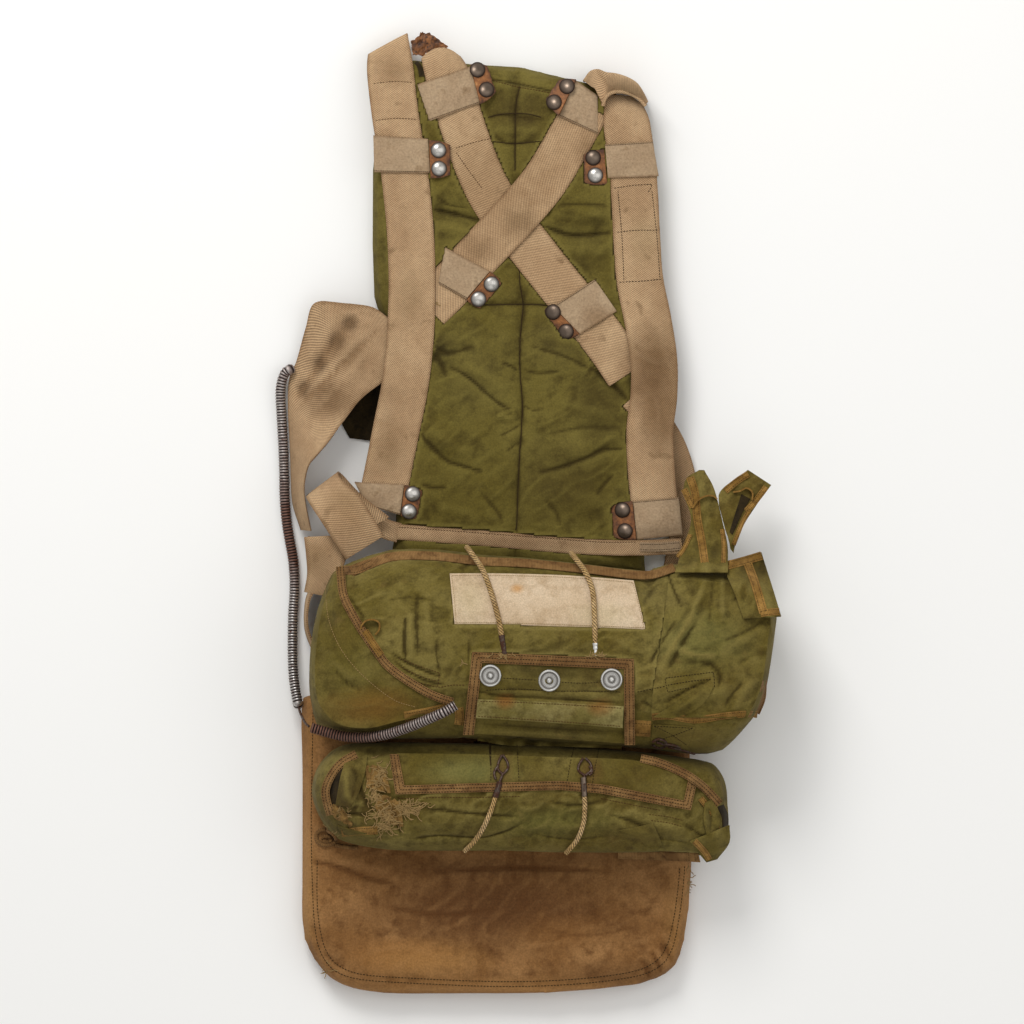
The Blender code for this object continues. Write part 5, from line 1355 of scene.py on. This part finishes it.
class PARACHUTE_OT_flaps(bpy.types.Operator):
    """Makes the pack's flaps, its binding tapes, the bare cloth patch and the ears"""
    bl_idname = "parachute.flaps"
    bl_label = "Flaps and tapes"

    def execute(self, context):
        cloth, tape = sizes().cloth_thickness / MM, sizes().tape_thickness / MM
        looks = {"cloth_patch": ("patch", "patch_cloth", 1.1), "closure_strip": ("strip", "pack_canvas", cloth), "hem_strip": ("tape", "tape", cloth),
                 "pack_top_tape": ("tape", "tape", tape)}
        for name, (left, right) in FLAPS.items():
            kind, slot, thick = looks.get(name, ("pack", "pack_canvas", cloth))
            left, right = rail(left, 20), rail(right, 20)
            fine = 1.5 if name in ("closure_flap", "closure_strip") else 2.6
            count = max(int(run_of(left)[-1] / fine), 8)
            wide = np.linalg.norm(left - right, axis=1).max()
            left, right = paced(left, count), paced(right, count)
            net = net_between(left, right, max(int(wide / fine), 5))
            net = laid(net, Carrier(frame["nodes"][name]), rounds=EVENING.get(name, 6))
            x, y = net[..., 0], net[..., 1]
            if name in ("left_end_flap", "right_end_flap"):
                net[..., 2] += creases(x, y, UPPER_FOLDS) + crumple(x, y, 30, 70, 0.6, 5)
            elif name == "closure_flap":
                net[..., 2] += creases(x, y, CLOSURE_FOLDS) + crumple(x, y, 26, 80, 0.25, 6)
            elif name == "pocket_flap":
                net[..., 2] += crumple(x, y, 40, 75, 0.35, 8) - 0.3
            elif name == "closure_strip":
                part = np.linspace(0, 1, net.shape[1])[None, :]
                net[..., 2] += 1.4 * np.sin(part * math.pi) - 0.9
            elif name == "cloth_patch":
                net[..., 2] += crumple(x, y, 34, 10, 0.2, 9)
            cloth_sheet(name + "_cloth", net, thick, finish(kind), slot, name)
        for name, (outer, inner) in FRAME_TAPES.items():
            outer, inner = rail(outer, 22, smooth=False), rail(inner, 22, smooth=False)
            net = laid(net_between(outer, inner, 6), Carrier(frame["nodes"][name]), rounds=1)
            cloth_sheet(name + "_binding", net, tape, finish("tape"), "tape", name)
        for name, centre in TAPES.items():
            line = rail(centre, 12)
            line = spread(line, np.linspace(0, 1, int(run_of(line)[-1] / 2.5)))
            left, right = edges_of(line, 8.5)
            net = laid(net_between(left, right, 6), Carrier(frame["nodes"][name]), rounds=2)
            cloth_sheet(name + "_binding", net, tape, finish("tape"), "tape", name)
        for number, (name, (left, right)) in enumerate(EARS.items()):
            net = net_between(rail(left, 7), rail(right, 7), 13)
            net = laid(net, Carrier(frame["nodes"][name]), rounds=4)
            x, y = net[..., 0], net[..., 1]
            net[..., 2] += crumple(x, y, 22, 20, 0.7, 20 + number)
            cloth_sheet(name + "_cloth", net, cloth, finish("pack"), "pack_canvas", name)
        return {"FINISHED"}


EVENING = {  # rounds of smoothing
    "pocket_flap": 14, "cloth_patch": 14, "closure_flap": 12, "closure_strip": 10, "pack_top_tape": 8
}
CLOSURE_FOLDS = (
    (-4.5, 2.4, "466,688 482,691 500,694.5 540,696.5 580,699 630,703"), (-1.2, 1.2, "482,687 540,689 "
    "622,691"), (1.6, 5, "484,676 540,680 620,682"), (-2.4, 2.0, "474,722 540,726 628,731"), (1.8, 3.5,
    "476,729 540,733 628,737"), (-1.4, 3, "508,668 512,676 520,684"), (-1.2, 3, "574,672 570,680 576,688"))


class PARACHUTE_OT_pads(bpy.types.Operator):
    """Makes the filled pieces: the back pad, the seat cushion and the two rolls of the pack"""
    bl_idname = "parachute.pads"
    bl_label = "Pad, cushion and pack"

    def execute(self, context):
        on_pad = [piece for piece in bpy.data.objects if piece.name.endswith(("_webbing", "_loop", "_leather"))]
        on_pack = [piece for piece in bpy.data.objects if piece.name.endswith(("_cloth", "_binding"))]
        pad = swollen("quilted_back_pad", "back_pad", 4.0, 6.0)
        fold_cloth(pad, PAD_FOLDS, ((46, 60, 0.55, 1), (17, 80, 0.16, 2)))
        tucked_under(pad, on_pad)
        mark_folds(pad)
        finished(pad, finish("pad"), "pad_cloth", "back_pad")
        cushion = swollen("canvas_seat_cushion", "seat_cushion", 5.0, 5.0)
        fold_cloth(cushion, CUSHION_FOLDS, ((60, 80, 0.5, 11), (24, 20, 0.2, 12)))
        mark_folds(cushion)
        finished(cushion, finish("cushion"), "cushion_canvas", "seat_cushion")
        upper = swollen("pack_upper_roll", "pack_upper", 4.0, 6.0)
        fold_cloth(upper, UPPER_FOLDS, ((44, 85, 0.7, 21), (16, 70, 0.22, 22)))
        tucked_under(upper, on_pack)
        mark_folds(upper)
        finished(upper, finish("pack"), "pack_canvas", "pack_upper")
        lower = swollen("pack_lower_roll", "pack_lower", 4.0, 6.0)
        fold_cloth(lower, LOWER_FOLDS, ((36, 80, 0.8, 31), (14, 60, 0.25, 32)))
        tucked_under(lower, on_pack)
        mark_folds(lower)
        finished(lower, finish("pack"), "pack_canvas", "pack_lower")
        return {"FINISHED"}


TRIM_TAPES = {  # name: what carries it, finish, width, thickness, then x, y along its middle
    "ear_left_tape": (("ear_left_cloth",), "ochre", 8.0, 1.2, "690,477 695,494 697,518 701,540 704,563"),
    "ear_left_flag_tape": (("ear_left_cloth",), "ochre", 6.5, 1.2, "684,489 688,498 693,507"),
    "ear_left_low_tape": (("ear_left_cloth",), "ochre", 4.0, 1.2, "677,557 684,547 690,534"),
    "ear_left_side_tape": (("ear_left_cloth",), "ochre", 4.5, 1.1, "722,529 723.5,545 722.5,563"),
    "ear_middle_top_tape": (("ear_middle_cloth",), "ochre", 6.5, 1.2, "725,491 737,481 748,474"),
    "ear_middle_side_tape": (("ear_middle_cloth",), "ochre", 6.0, 1.2, "766,487 756,500 746,511"),
    "ear_middle_low_tape": (("ear_middle_cloth",), "ochre", 4.5, 1.2, "749,510 741,525 733,545"),
    "ear_right_top_tape": (("ear_right_cloth", "pack_upper_roll"), "ochre", 8.5, 1.3, "722,566 742,561 "
        "761,555.5"),
    "ear_right_down_tape": (("ear_right_cloth",), "ochre", 8.5, 1.3, "747,563 754,583 762,612"),
    "ear_right_low_tape": (("ear_right_cloth",), "ochre", 7.0, 1.2, "759,613 768,611.5 778,611"),
    "right_low_tape": (("right_end_flap_cloth", "pack_upper_roll"), "ochre", 6.5, 1.3, "651,716 668,715 "
        "694,719 722,715 744,713 757,714"),
    "right_side_tape": (("right_end_flap_cloth", "pack_upper_roll"), "tape", 7.0, 1.3, "763,680 762,697 "
        "756,713"),
    "left_stem_tape": (("pack_upper_roll", "left_end_flap_cloth", "left_flap_tape_binding"), "ochre", 7.0,
        1.3, "366,630 373,641 382,654"),
    "ochre_corner_tape": (("left_end_flap_cloth", "pack_upper_roll"), "ochre", 10.5, 1.2, "405,716 428,712 "
        "452,706"),
    "frayed_corner_tape": (("pack_upper_roll", "pack_top_tape_cloth"), "tape", 9.0, 1.6, "345,570 358,569 "
        "372,563"),
    "closure_side_tab": (("pack_upper_roll",), "ochre", 16.0, 1.3, "634,727 642,727.5 650,728"),
    "lower_corner_tape": (("pack_lower_roll",), "ochre", 8.0, 1.3, "342,832 360,830 378,829"),
    "lower_side_tape": (("pack_lower_roll",), "ochre", 6.0, 1.3, "700,797 711,812 718,832"),
    "corner_flap_tape": (("corner_flap_cloth",), "ochre", 6.0, 1.2, "694,840 704,851 709,859"),
    "hem_corner_tape": (("hem_strip_cloth",), "tape", 10.0, 1.2, "691,850 691.5,855 692,861"),
    "closure_tab_left": (("pack_upper_roll",), "ochre", 9.0, 1.4, "459,707 460,715 459,724"),
    "waist_plain_tape": (("waist_belt_webbing",), "keeper", 9.0, 1.0, "640,547 660,547 680,545.5"),
}
LOOPS = {  # a narrow tape bent into a standing loop: what carries it, finish, x, y round it
    "left_tape_loop": (("pack_upper_roll",), "ochre", "362,634 362,626 367,620 374,619 380,622 380,629 "
        "376,634"),
    "ear_cross_loop": (("ear_left_cloth",), "ochre", "692,508 698,500 706,496 713,496 717,499"),
    "ear_middle_roll": (("ear_middle_cloth",), "ochre", "733,492 740,491 746,488 752,492 752,500"),
}


class PARACHUTE_OT_trimmings(bpy.types.Operator):
    """Sews the tapes, loops and patches of the pack that are too fine for its outline"""
    bl_idname = "parachute.trimmings"
    bl_label = "Tapes, loops and patches"

    def execute(self, context):
        for name, (under, kind, width, thick, *centre) in TRIM_TAPES.items():
            strip_on(name, Carrier(*under), centre, width, thick, kind, "tape", declare=width > 9.9)
        for name, (under, kind, *centre) in LOOPS.items():
            line = drawn_on(Carrier(*under), centre, lift=1.6)
            line[:, 2] += 2.0 * np.sin(np.linspace(0, math.pi, len(line)))
            up = np.zeros_like(line)
            up[:, 2] = 2.6
            net = net_between(line - up, line + up, 3)
            piece = from_net(name, net)
            apply_modifier(piece, "SOLIDIFY", thickness=0.0016, offset=0)
            finished(piece, finish(kind), "tape")
        net = net_between(rail(PATCH_X[0], 8), rail(PATCH_X[1], 8), 12)
        net = laid(net, Carrier("pack_upper_roll"), lift=1.7)
        cloth_sheet("crossed_patch", net, 1.2, finish("pack"), "pack_canvas")
        net = net_between(rail(LOW_LAYER[0], 8), rail(LOW_LAYER[1], 8), 6)
        net = laid(net, Carrier("pack_upper_roll"), lift=1.6)
        cloth_sheet("closure_under_layer", net, 1.2, finish("pack"), "pack_canvas")
        for name, outline, lift in TORN_CLOTHS:
            first, second = rail(outline[0], 8), rail(outline[1], 8)
            draw = np.random.default_rng(len(name))
            first = first + draw.normal(0, 0.8, first.shape)
            second = second + draw.normal(0, 1.2, second.shape)
            net = laid(net_between(first, second, 12), Carrier("pack_lower_roll"), lift=lift, rounds=1)
            net[..., 2] += crumple(net[..., 0], net[..., 1], 11, 40, 1.1, len(name))
            cloth_sheet(name, net, 1.0, finish("lining"), "pack_canvas")
        for name, under, kind, outline, lift, folds in CORNER_CLOTHS:
            net = net_between(rail(outline[0], 8), rail(outline[1], 8), 14)
            net = laid(net, Carrier(under), lift=lift, rounds=4)
            net[..., 2] += creases(net[..., 0], net[..., 1], folds)
            cloth_sheet(name, net, 1.2, finish(kind), "pack_canvas")
        return {"FINISHED"}


# The four dark cloths in the hollows, at the ear, the top and the lower corners, are painted shade.
CORNER_CLOTHS = (  # name, what carries it, finish, both edges, height over it, folds
    ("ear_hollow", "ear_middle_cloth", "dark", ("741,494 736,510 729,532", "750,499 742,513 732,535"), 1.5,
        ()),
    ("top_hollow", "quilted_back_pad", "dark", ("414,62 417,66 419,76", "418,60 422,66 425,76"), 1.6, ()),
    ("right_pleat", "right_end_flap_cloth", "pack", ("709,679 690,692 668,706 652,716", "713,684 704,700 "
        "690,711 672,717"), 2.0, ((1.2, 3, "706,686 690,700 670,712"),)),
    ("corner_hollow_left", "pack_lower_roll", "dark", ("338,762 330,776 327,790 330,806", "352,757 344,770 "
        "341,788 342,806"), 0.8, ()),
    ("corner_fold_left", "pack_lower_roll", "pack", ("345,762 341,776 338,792 336,804", "368,754 366,770 "
        "360,790 352,806"), 3.2, ((-2.6, 2.4, "353,764 357,778 352,800"), (2.0, 4, "347,766 347,784 "
        "344,802"))),
    ("corner_tab_left", "pack_lower_roll", "pack", ("338,824 356,829 376,834", "340,838 354,843 372,846"),
        2.2, ()),
    ("corner_hollow_right", "pack_lower_roll", "dark", ("716,806 721,816 722,830", "723,803 728,815 728,829"),
        0.8, ()),
    ("corner_fold_right", "pack_lower_roll", "pack", ("704,802 703,818 706,834", "713,797 719,814 718,832"),
        3.0, ((-2.4, 2.4, "708,806 710,818 710,830"),)),
    ("lower_fold_right", "pack_lower_roll", "pack", ("618,829 634,836 650,848", "652,822 657,832 663,847"),
        1.8, ((1.6, 3, "652,824 657,834 661,845"),)),
)
PATCH_X = (
    "652,723 672,724 694,726", "650,742 668,744 687,748")
LOW_LAYER = (
    "478,733 510,737 560,739 622,741", "478,740 510,745 560,746 621,748")
TORN_CLOTHS = (
    ("torn_lining_side", ("330,806 336,803 342,806", "338,818 346,822 353,824"), 1.5),
    ("torn_lining_upper", ("366,766 374,764 384,768", "368,786 378,790 392,792"), 1.3),
    ("torn_lining_lower", ("372,792 386,794 400,800", "378,812 390,822 404,826"), 1.3),
)


class PARACHUTE_OT_tears(bpy.types.Operator):
    """Adds the torn leather, the rolled selvedge, the loose fibres and the frayed ends"""
    bl_idname = "parachute.tears"
    bl_label = "Tears and fibres"

    def execute(self, context):
        net = net_between(rail(TORN_TOP[0], 6), rail(TORN_TOP[1], 6), 14)
        draw = np.random.default_rng(5)
        net = net + draw.normal(0, 0.5, net.shape)
        base = Carrier("cross_strap_left_webbing")
        heights = np.full(net.shape[:2], np.nanmean(base.heights(net)) - 1.5)
        heights += crumple(net[..., 0], net[..., 1], 9, 40, 1.2, 3)
        piece = from_net("torn_leather", np.dstack([net, heights]), grime=np.abs(draw.normal(0, 0.5, net.shape[:2])))
        apply_modifier(piece, "SOLIDIFY", thickness=0.002, offset=-1)
        smooth_faces(piece)
        finished(piece, finish("leather"), "leather")
        cap = Carrier("shoulder_cap_webbing", "shoulder_strap_right_webbing")
        roll = drawn_on(cap, SELVEDGE, lift=0.6)
        finished(tube_mesh("rolled_selvedge", roll, 2.0, 10), finish("webbing"), "webbing")
        for name, kind, radius, cord, overlap, reach, drop in FERRULES:
            line = CORD_LINES[cord] if "upper" in cord else CORD_LINES[cord][::-1]
            way = line[-1] - line[-6]
            way /= np.linalg.norm(way)
            steps = np.linspace(-overlap, reach, 12)
            path = line[-1] + steps[:, None] * way
            path[:, 2] -= drop * np.clip(steps / reach, 0, 1)
            radii = radius * (1 + 0.06 * np.cos(steps * 1.6))
            finished(tube_mesh(name, path, radii, 12), finish(kind), "steel")
        knot = Carrier("pack_lower_roll", "canvas_seat_cushion")
        turns = [drawn_on(knot, line, lift=1.8) for line in KNOT]
        rolls = [tube_mesh(f"knot_{number}", line, 2.1, 8) for number, line in enumerate(turns)]
        finished(joined("rolled_knot", rolls), finish("tape"), "tape")
        hook = Carrier("crossed_patch", "pack_upper_roll")
        wires = [tube_mesh(f"wire_{number}", drawn_on(hook, line, lift=1.6), 1.4, 8)
                 for number, line in enumerate(SIDE_HOOK)]
        finished(joined("side_hook", wires), finish("rusty"), "steel")
        low = Carrier("pack_lower_roll", "torn_lining_upper", "torn_lining_lower")
        tan = []
        for spot, size, count, length, seed in FRAYS:
            tan += frayed(low, spot, size, count, length, seed)
        strands("torn_fibres", tan, 0.42, "tan_thread", "pack_canvas", 4)
        ends = []
        for carriers, spot, size, count, length, turn, seed in ENDS:
            ends += frayed(Carrier(*carriers), spot, size, count, length, seed, 0.5, turn, 0.5)
        strands("frayed_ends", ends, 0.4, "tan_thread", "webbing", 4)
        return {"FINISHED"}


TORN_TOP = (
    "411,42 420,34 426,32 436,37 447,46", "413,54 421,54 430,51 438,49 445,50")
FERRULES = (  # name, finish, radius, cord, how far it grips the cord, how far it goes on, how far it drops
    ("worn_end_left", "rusty", 3.1, "elastic_upper_left", 9, 10, 1.0),
    ("crimp_right", "bright_nickel", 3.4, "elastic_upper_right", 1, 11, 1.0),
    ("ferrule_left", "rusty", 3.2, "elastic_lower_left", 2, 14, 0.5),
    ("ferrule_right", "dull_nickel", 3.2, "elastic_lower_right", 2, 17, 0.5))
KNOT = (
    "316,834 322,830 331,832 336,838 332,844 323,845 317,841 316,834", "321,838 326,836 331,838 329,842 "
    "323,841", "335,845 345,847 358,848")
SIDE_HOOK = (
    "652,741 658,738 665,741 664,746 657,747 652,744", "664,743 672,744 680,747", "668,746 680,749 694,753",
    "656,741 662,743 668,745")
SELVEDGE = "603,106 605,99 610,93.5 619,91.5 631,94 640,99.5 645.5,106"
FRAYS = (  # place, spread, how many, length, seed
    ((378, 774), (4, 7), 40, 9, 1), ((373, 796), (3, 7), 44, 9, 2), ((382, 814), (9, 5), 60, 10, 3),
    ((402, 807), (8, 2.5), 40, 11, 4), ((384, 826), (6, 3), 40, 8, 5), ((416, 806), (5, 1.5), 16, 9, 6),
    ((342, 812), (4, 4), 18, 7, 7), ((326, 838), (5, 4), 26, 8, 8))
ENDS = (  # what carries it, place, spread, how many, length, direction, seed
    (("closure_tape_binding", "pack_upper_roll"), (503, 652), (4, 1.2), 16, 6, 90, 6),
    (("closure_tape_binding", "pack_upper_roll"), (595, 655), (5, 1.0), 18, 6, 0, 7),
    (("pack_upper_roll", "pack_top_tape_cloth"), (346, 571), (2, 3), 14, 7, 180, 8),
    (("cross_strap_right_webbing",), (431, 303), (5, 4), 12, 5, 120, 9),
    (("pack_upper_roll",), (463, 660), (1, 2), 3, 6, 90, 10),
    (("canvas_seat_cushion",), (688, 880), (1.0, 8), 16, 7, 20, 12),
    (("canvas_seat_cushion",), (325, 970), (3, 2), 7, 8, 120, 13),
    (("pack_upper_roll", "pack_lower_roll"), (470, 716), (4, 6), 12, 8, 60, 14),
)


class PARACHUTE_OT_fittings(bpy.types.Operator):
    """Makes the three press studs of the closure flap and the hooks of the elastic cords"""
    bl_idname = "parachute.fittings"
    bl_label = "Studs and hooks"

    def execute(self, context):
        profile = ((0.0, 0.2), (0.86, 0.2), (0.98, 0.8), (1.02, 1.6), (1.0, 2.6), (0.94, 3.2), (0.86, 3.3),
                   (0.8, 2.7), (0.78, 1.9), (0.7, 1.7), (0.66, 2.1), (0.6, 2.1), (0.56, 1.7), (0.4, 1.6),
                   (0.34, 1.1), (0.27, 1.1), (0.25, 2.0), (0.22, 3.4), (0.15, 4.1), (0.02, 4.3))
        for number, (x, y) in enumerate(CLOSURE_STUDS, 1):
            node = f"closure_stud_{number}"
            base = Carrier("closure_flap_cloth", "closure_tape_binding")
            spots = [(x + dx, y + dy) for dx in (-8, 0, 8) for dy in (-8, 0, 8)]
            heights = np.array([base.cast(*spot) for spot in spots])
            known = ~np.isnan(heights)
            columns = np.column_stack([np.array(spots) - (x, y), np.ones(9)])[known]
            slope = np.linalg.lstsq(columns, heights[known], rcond=None)[0]
            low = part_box(node)[0].z / MM
            place = (x, y, max(slope[2], low))
            stud = stud_mesh(f"flap_stud_{number}", place, 10.8, profile, slope[:2], FLAP_STUD_SHADE, 32)
            finished(stud, finish("bright_nickel"), "nickel", node)
        for name, spots in HOOK_WIRES.items():
            carrier = Carrier("pocket_flap_cloth", "pack_lower_roll", "pocket_tape_binding")
            wires = [tube_mesh(f"{name}_{number}", drawn_on(carrier, spot, lift=1.6), 1.3, 8)
                     for number, spot in enumerate(spots)]
            finished(joined(name + "_wire", wires), finish("rusty"), "steel", name)
        return {"FINISHED"}


HOOK_WIRES = {
    "hook_lower_left": ("502,754 499,760 498,768 503,773", "503,754 507,760 508,767 503,773", "503,772 "
        "500,780 497,790", "497,766 494,772 496,778"),
    "hook_lower_right": ("583,757 579,763 578,769 584,774", "585,757 590,762 591,769 585,774", "584,773 "
        "584,781 584,790", "589,765 592,770 589,774"),
}


class PARACHUTE_OT_stitching(bpy.types.Operator):
    """Sews every seam whose thread shows"""
    bl_idname = "parachute.stitching"
    bl_label = "Stitching"

    def execute(self, context):
        tapes = []
        for name in ("closure_tape_binding", "pocket_tape_binding", "left_flap_tape_binding",
                     "lower_left_tape_binding", "lower_right_tape_binding"):
            tapes += [column_line(name, part) for part in (0.14, 0.5, 0.86)]
        sewn("tape_stitching", tapes, "dark_thread", "tape", pitch=2.8, thread=0.9)
        trims = []
        for name in TRIM_TAPES:
            trims += [column_line(name, part) for part in (0.2, 0.8)]
        sewn("trim_stitching", trims, "dark_thread", "tape", pitch=2.4, thread=0.6)
        for name, carriers, kind, pitch, thread, *lines in SEAMS:
            carrier = Carrier(*carriers)
            sewn(name, [drawn_on(carrier, line) for line in lines], kind, "tape", pitch=pitch, thread=thread)
        for name, carriers, kind, radius, *lines in CORDED_SEAMS:
            carrier = Carrier(*carriers)
            strands(name, [drawn_on(carrier, line, lift=0.1) for line in lines], radius, kind, "pad_cloth", 6)
        edges = [column_line(name + "_loop", 0.96) for name in KEEPERS]
        sewn("keeper_stitching", edges, "dark_thread", "keeper_cloth", pitch=1.8, thread=0.7)
        return {"FINISHED"}


SEAMS = (  # name, what carries them, thread, pitch, thickness, then lines of x, y
    ("strap_box_stitching", ("shoulder_strap_left_webbing",), "brown_thread", 2.9, 0.85, "373,83 394,81 "
        "412,82", "375,120 396,118 416,119"),
    ("diagonal_stitching", ("cross_strap_left_webbing",), "brown_thread", 2.9, 0.85, "455,148 474,142 "
        "492,138", "456,152 470,172 482,188", "492,140 496,150 499,160"),
    ("right_strap_stitching", ("shoulder_strap_right_webbing",), "dark_thread", 2.9, 0.9, "614,188 634,185 "
        "652,184", "652,184 651,188 648,192", "617,232 637,230 658,230", "619,282 640,281 662,279", "618,190 "
        "622,236 624,280", "652,190 657,236 660,278"),
    ("belt_stitching", ("waist_belt_webbing",), "brown_thread", 2.8, 0.85, "398,527 440,530 480,533 520,536 "
        "559,539 600,542 636,542"),
    ("patch_stitching", ("cloth_patch_cloth",), "tan_thread", 2.2, 0.6, "452,575 500,575 566,577 632,582",
        "456.5,622 500,622 566,624 643,627", "452,575 455,600 456.5,622", "632,582 638,604 643,627"),
    ("closure_stitching", ("closure_flap_cloth",), "dark_thread", 2.8, 0.85, "503,677 520,678 536,679",
        "561,681 580,682 598,681", "486,689 520,688 560,690 600,690 620,691"),
    ("strip_stitching", ("closure_strip_cloth",), "brown_thread", 2.8, 0.85, "480,700 525,701.5 575,704 "
        "621,707", "478,715 525,718 575,721.5 620,725"),
    ("upper_left_stitching", ("pack_upper_roll", "left_end_flap_cloth"), "brown_thread", 2.9, 0.95, "399,657 "
        "414,663 428,668 440,672", "440,672 439,680 438,686", "401,666 414,672 426,677 437,680", "402,673 "
        "416,680 438,686 452,684 465,684"),
    ("flap_seam_stitching", ("left_end_flap_cloth", "pack_upper_roll"), "tan_thread", 2.6, 0.8, "326,588 "
        "329,616 338,641 352,662 372,682 395,699 416,706"),
    ("upper_right_stitching", ("pack_upper_roll", "right_end_flap_cloth"), "dark_thread", 2.8, 0.95, "664,677 "
        "688,674 712,671", "712,671 713,679 713,686", "664,677 665,684 667,691", "667,691 680,688 694,686",
        "666,684 690,680 710,678", "636,691 650,688 664,685"),
    ("crossed_stitching", ("crossed_patch",), "dark_thread", 2.8, 0.95, "653,725 668,732 686,744", "692,727 "
        "674,734 652,741", "653,725 672,726 692,727"),
    ("pocket_stitching", ("pocket_flap_cloth", "pack_lower_roll", "pocket_tape_binding"), "dark_thread", 2.8,
        0.85, "491,742 491,760 491,780", "517,744 518,762 519,780", "574,746 570,762 567,780", "599,747 "
        "595,764 592,782"),
    ("lower_stitching", ("pack_lower_roll",), "brown_thread", 2.9, 0.85, "398,797 415,797 432,796", "398,803 "
        "415,803 432,802", "432,796 470,796 520,795", "600,797 630,803 660,809", "648,813 666,815 682,819",
        "650,819 666,821 681,825"),
    ("cushion_stitching", ("canvas_seat_cushion",), "dark_thread", 3.2, 1.0, "313,700 312,760 311,820 312,880 "
        "315,930 322,956 336,972 362,980 420,984 500,987 570,985 630,978 658,968 672,950 679,920 683,890 "
        "685,866", "317,860 317,900 320,930 327,953 340,967 364,975 420,979 500,982 570,980 628,973 654,963 "
        "667,946 674,918 678,890 680,868"),
    ("pad_hem_stitching", ("quilted_back_pad",), "brown_thread", 2.9, 0.95, "484,78 500,82 520,87 547,92 "
        "570,99"),
)
CORDED_SEAMS = (  # name, what carries them, thread, radius, then lines of x, y
    ("pad_seam_thread", ("quilted_back_pad",), "dark_thread", 0.5, "520,86 516,104 515,140 515,170", "519,262 "
        "520,284 523,305 520.5,335 520,372 522.5,408 519,465 517,520 515.5,530", "478,305 500,304.5 522,304 "
        "545,305 572,307", "488,117 500,114 515,113 530,114 541,117", "489,141 515,143 541,141"),
    ("pocket_slit", ("pocket_flap_cloth", "pack_lower_roll"), "dark_thread", 0.7, "490,741 490,752 491,764"),
)


class PARACHUTE_PT_panel(bpy.types.Panel):
    """Lists what the parachute is made of"""
    bl_idname = "PARACHUTE_PT_panel"
    bl_label = "Packed parachute"
    bl_space_type = "VIEW_3D"
    bl_region_type = "UI"
    bl_category = "Parachute"

    def draw(self, context):
        for name in ParachuteSizes.__annotations__:
            self.layout.prop(context.scene.parachute_sizes, name)
        for step in STEPS:
            self.layout.operator(step.bl_idname)


STEPS = (
    PARACHUTE_OT_stage, PARACHUTE_OT_hoses, PARACHUTE_OT_elastics, PARACHUTE_OT_harness, PARACHUTE_OT_tabs,
    PARACHUTE_OT_flaps, PARACHUTE_OT_pads, PARACHUTE_OT_trimmings, PARACHUTE_OT_fittings, PARACHUTE_OT_tears,
    PARACHUTE_OT_stitching)
CLASSES = (ParachuteSizes, *STEPS, PARACHUTE_PT_panel)


def register():
    for item in CLASSES:
        bpy.utils.register_class(item)
    bpy.types.Scene.parachute_sizes = bpy.props.PointerProperty(type=ParachuteSizes)


def unregister():
    del bpy.types.Scene.parachute_sizes
    for item in reversed(CLASSES):
        bpy.utils.unregister_class(item)


def main():
    register()
    for step in STEPS:
        group, name = step.bl_idname.split(".")
        getattr(getattr(bpy.ops, group), name)()


if __name__ == "__main__":
    main()
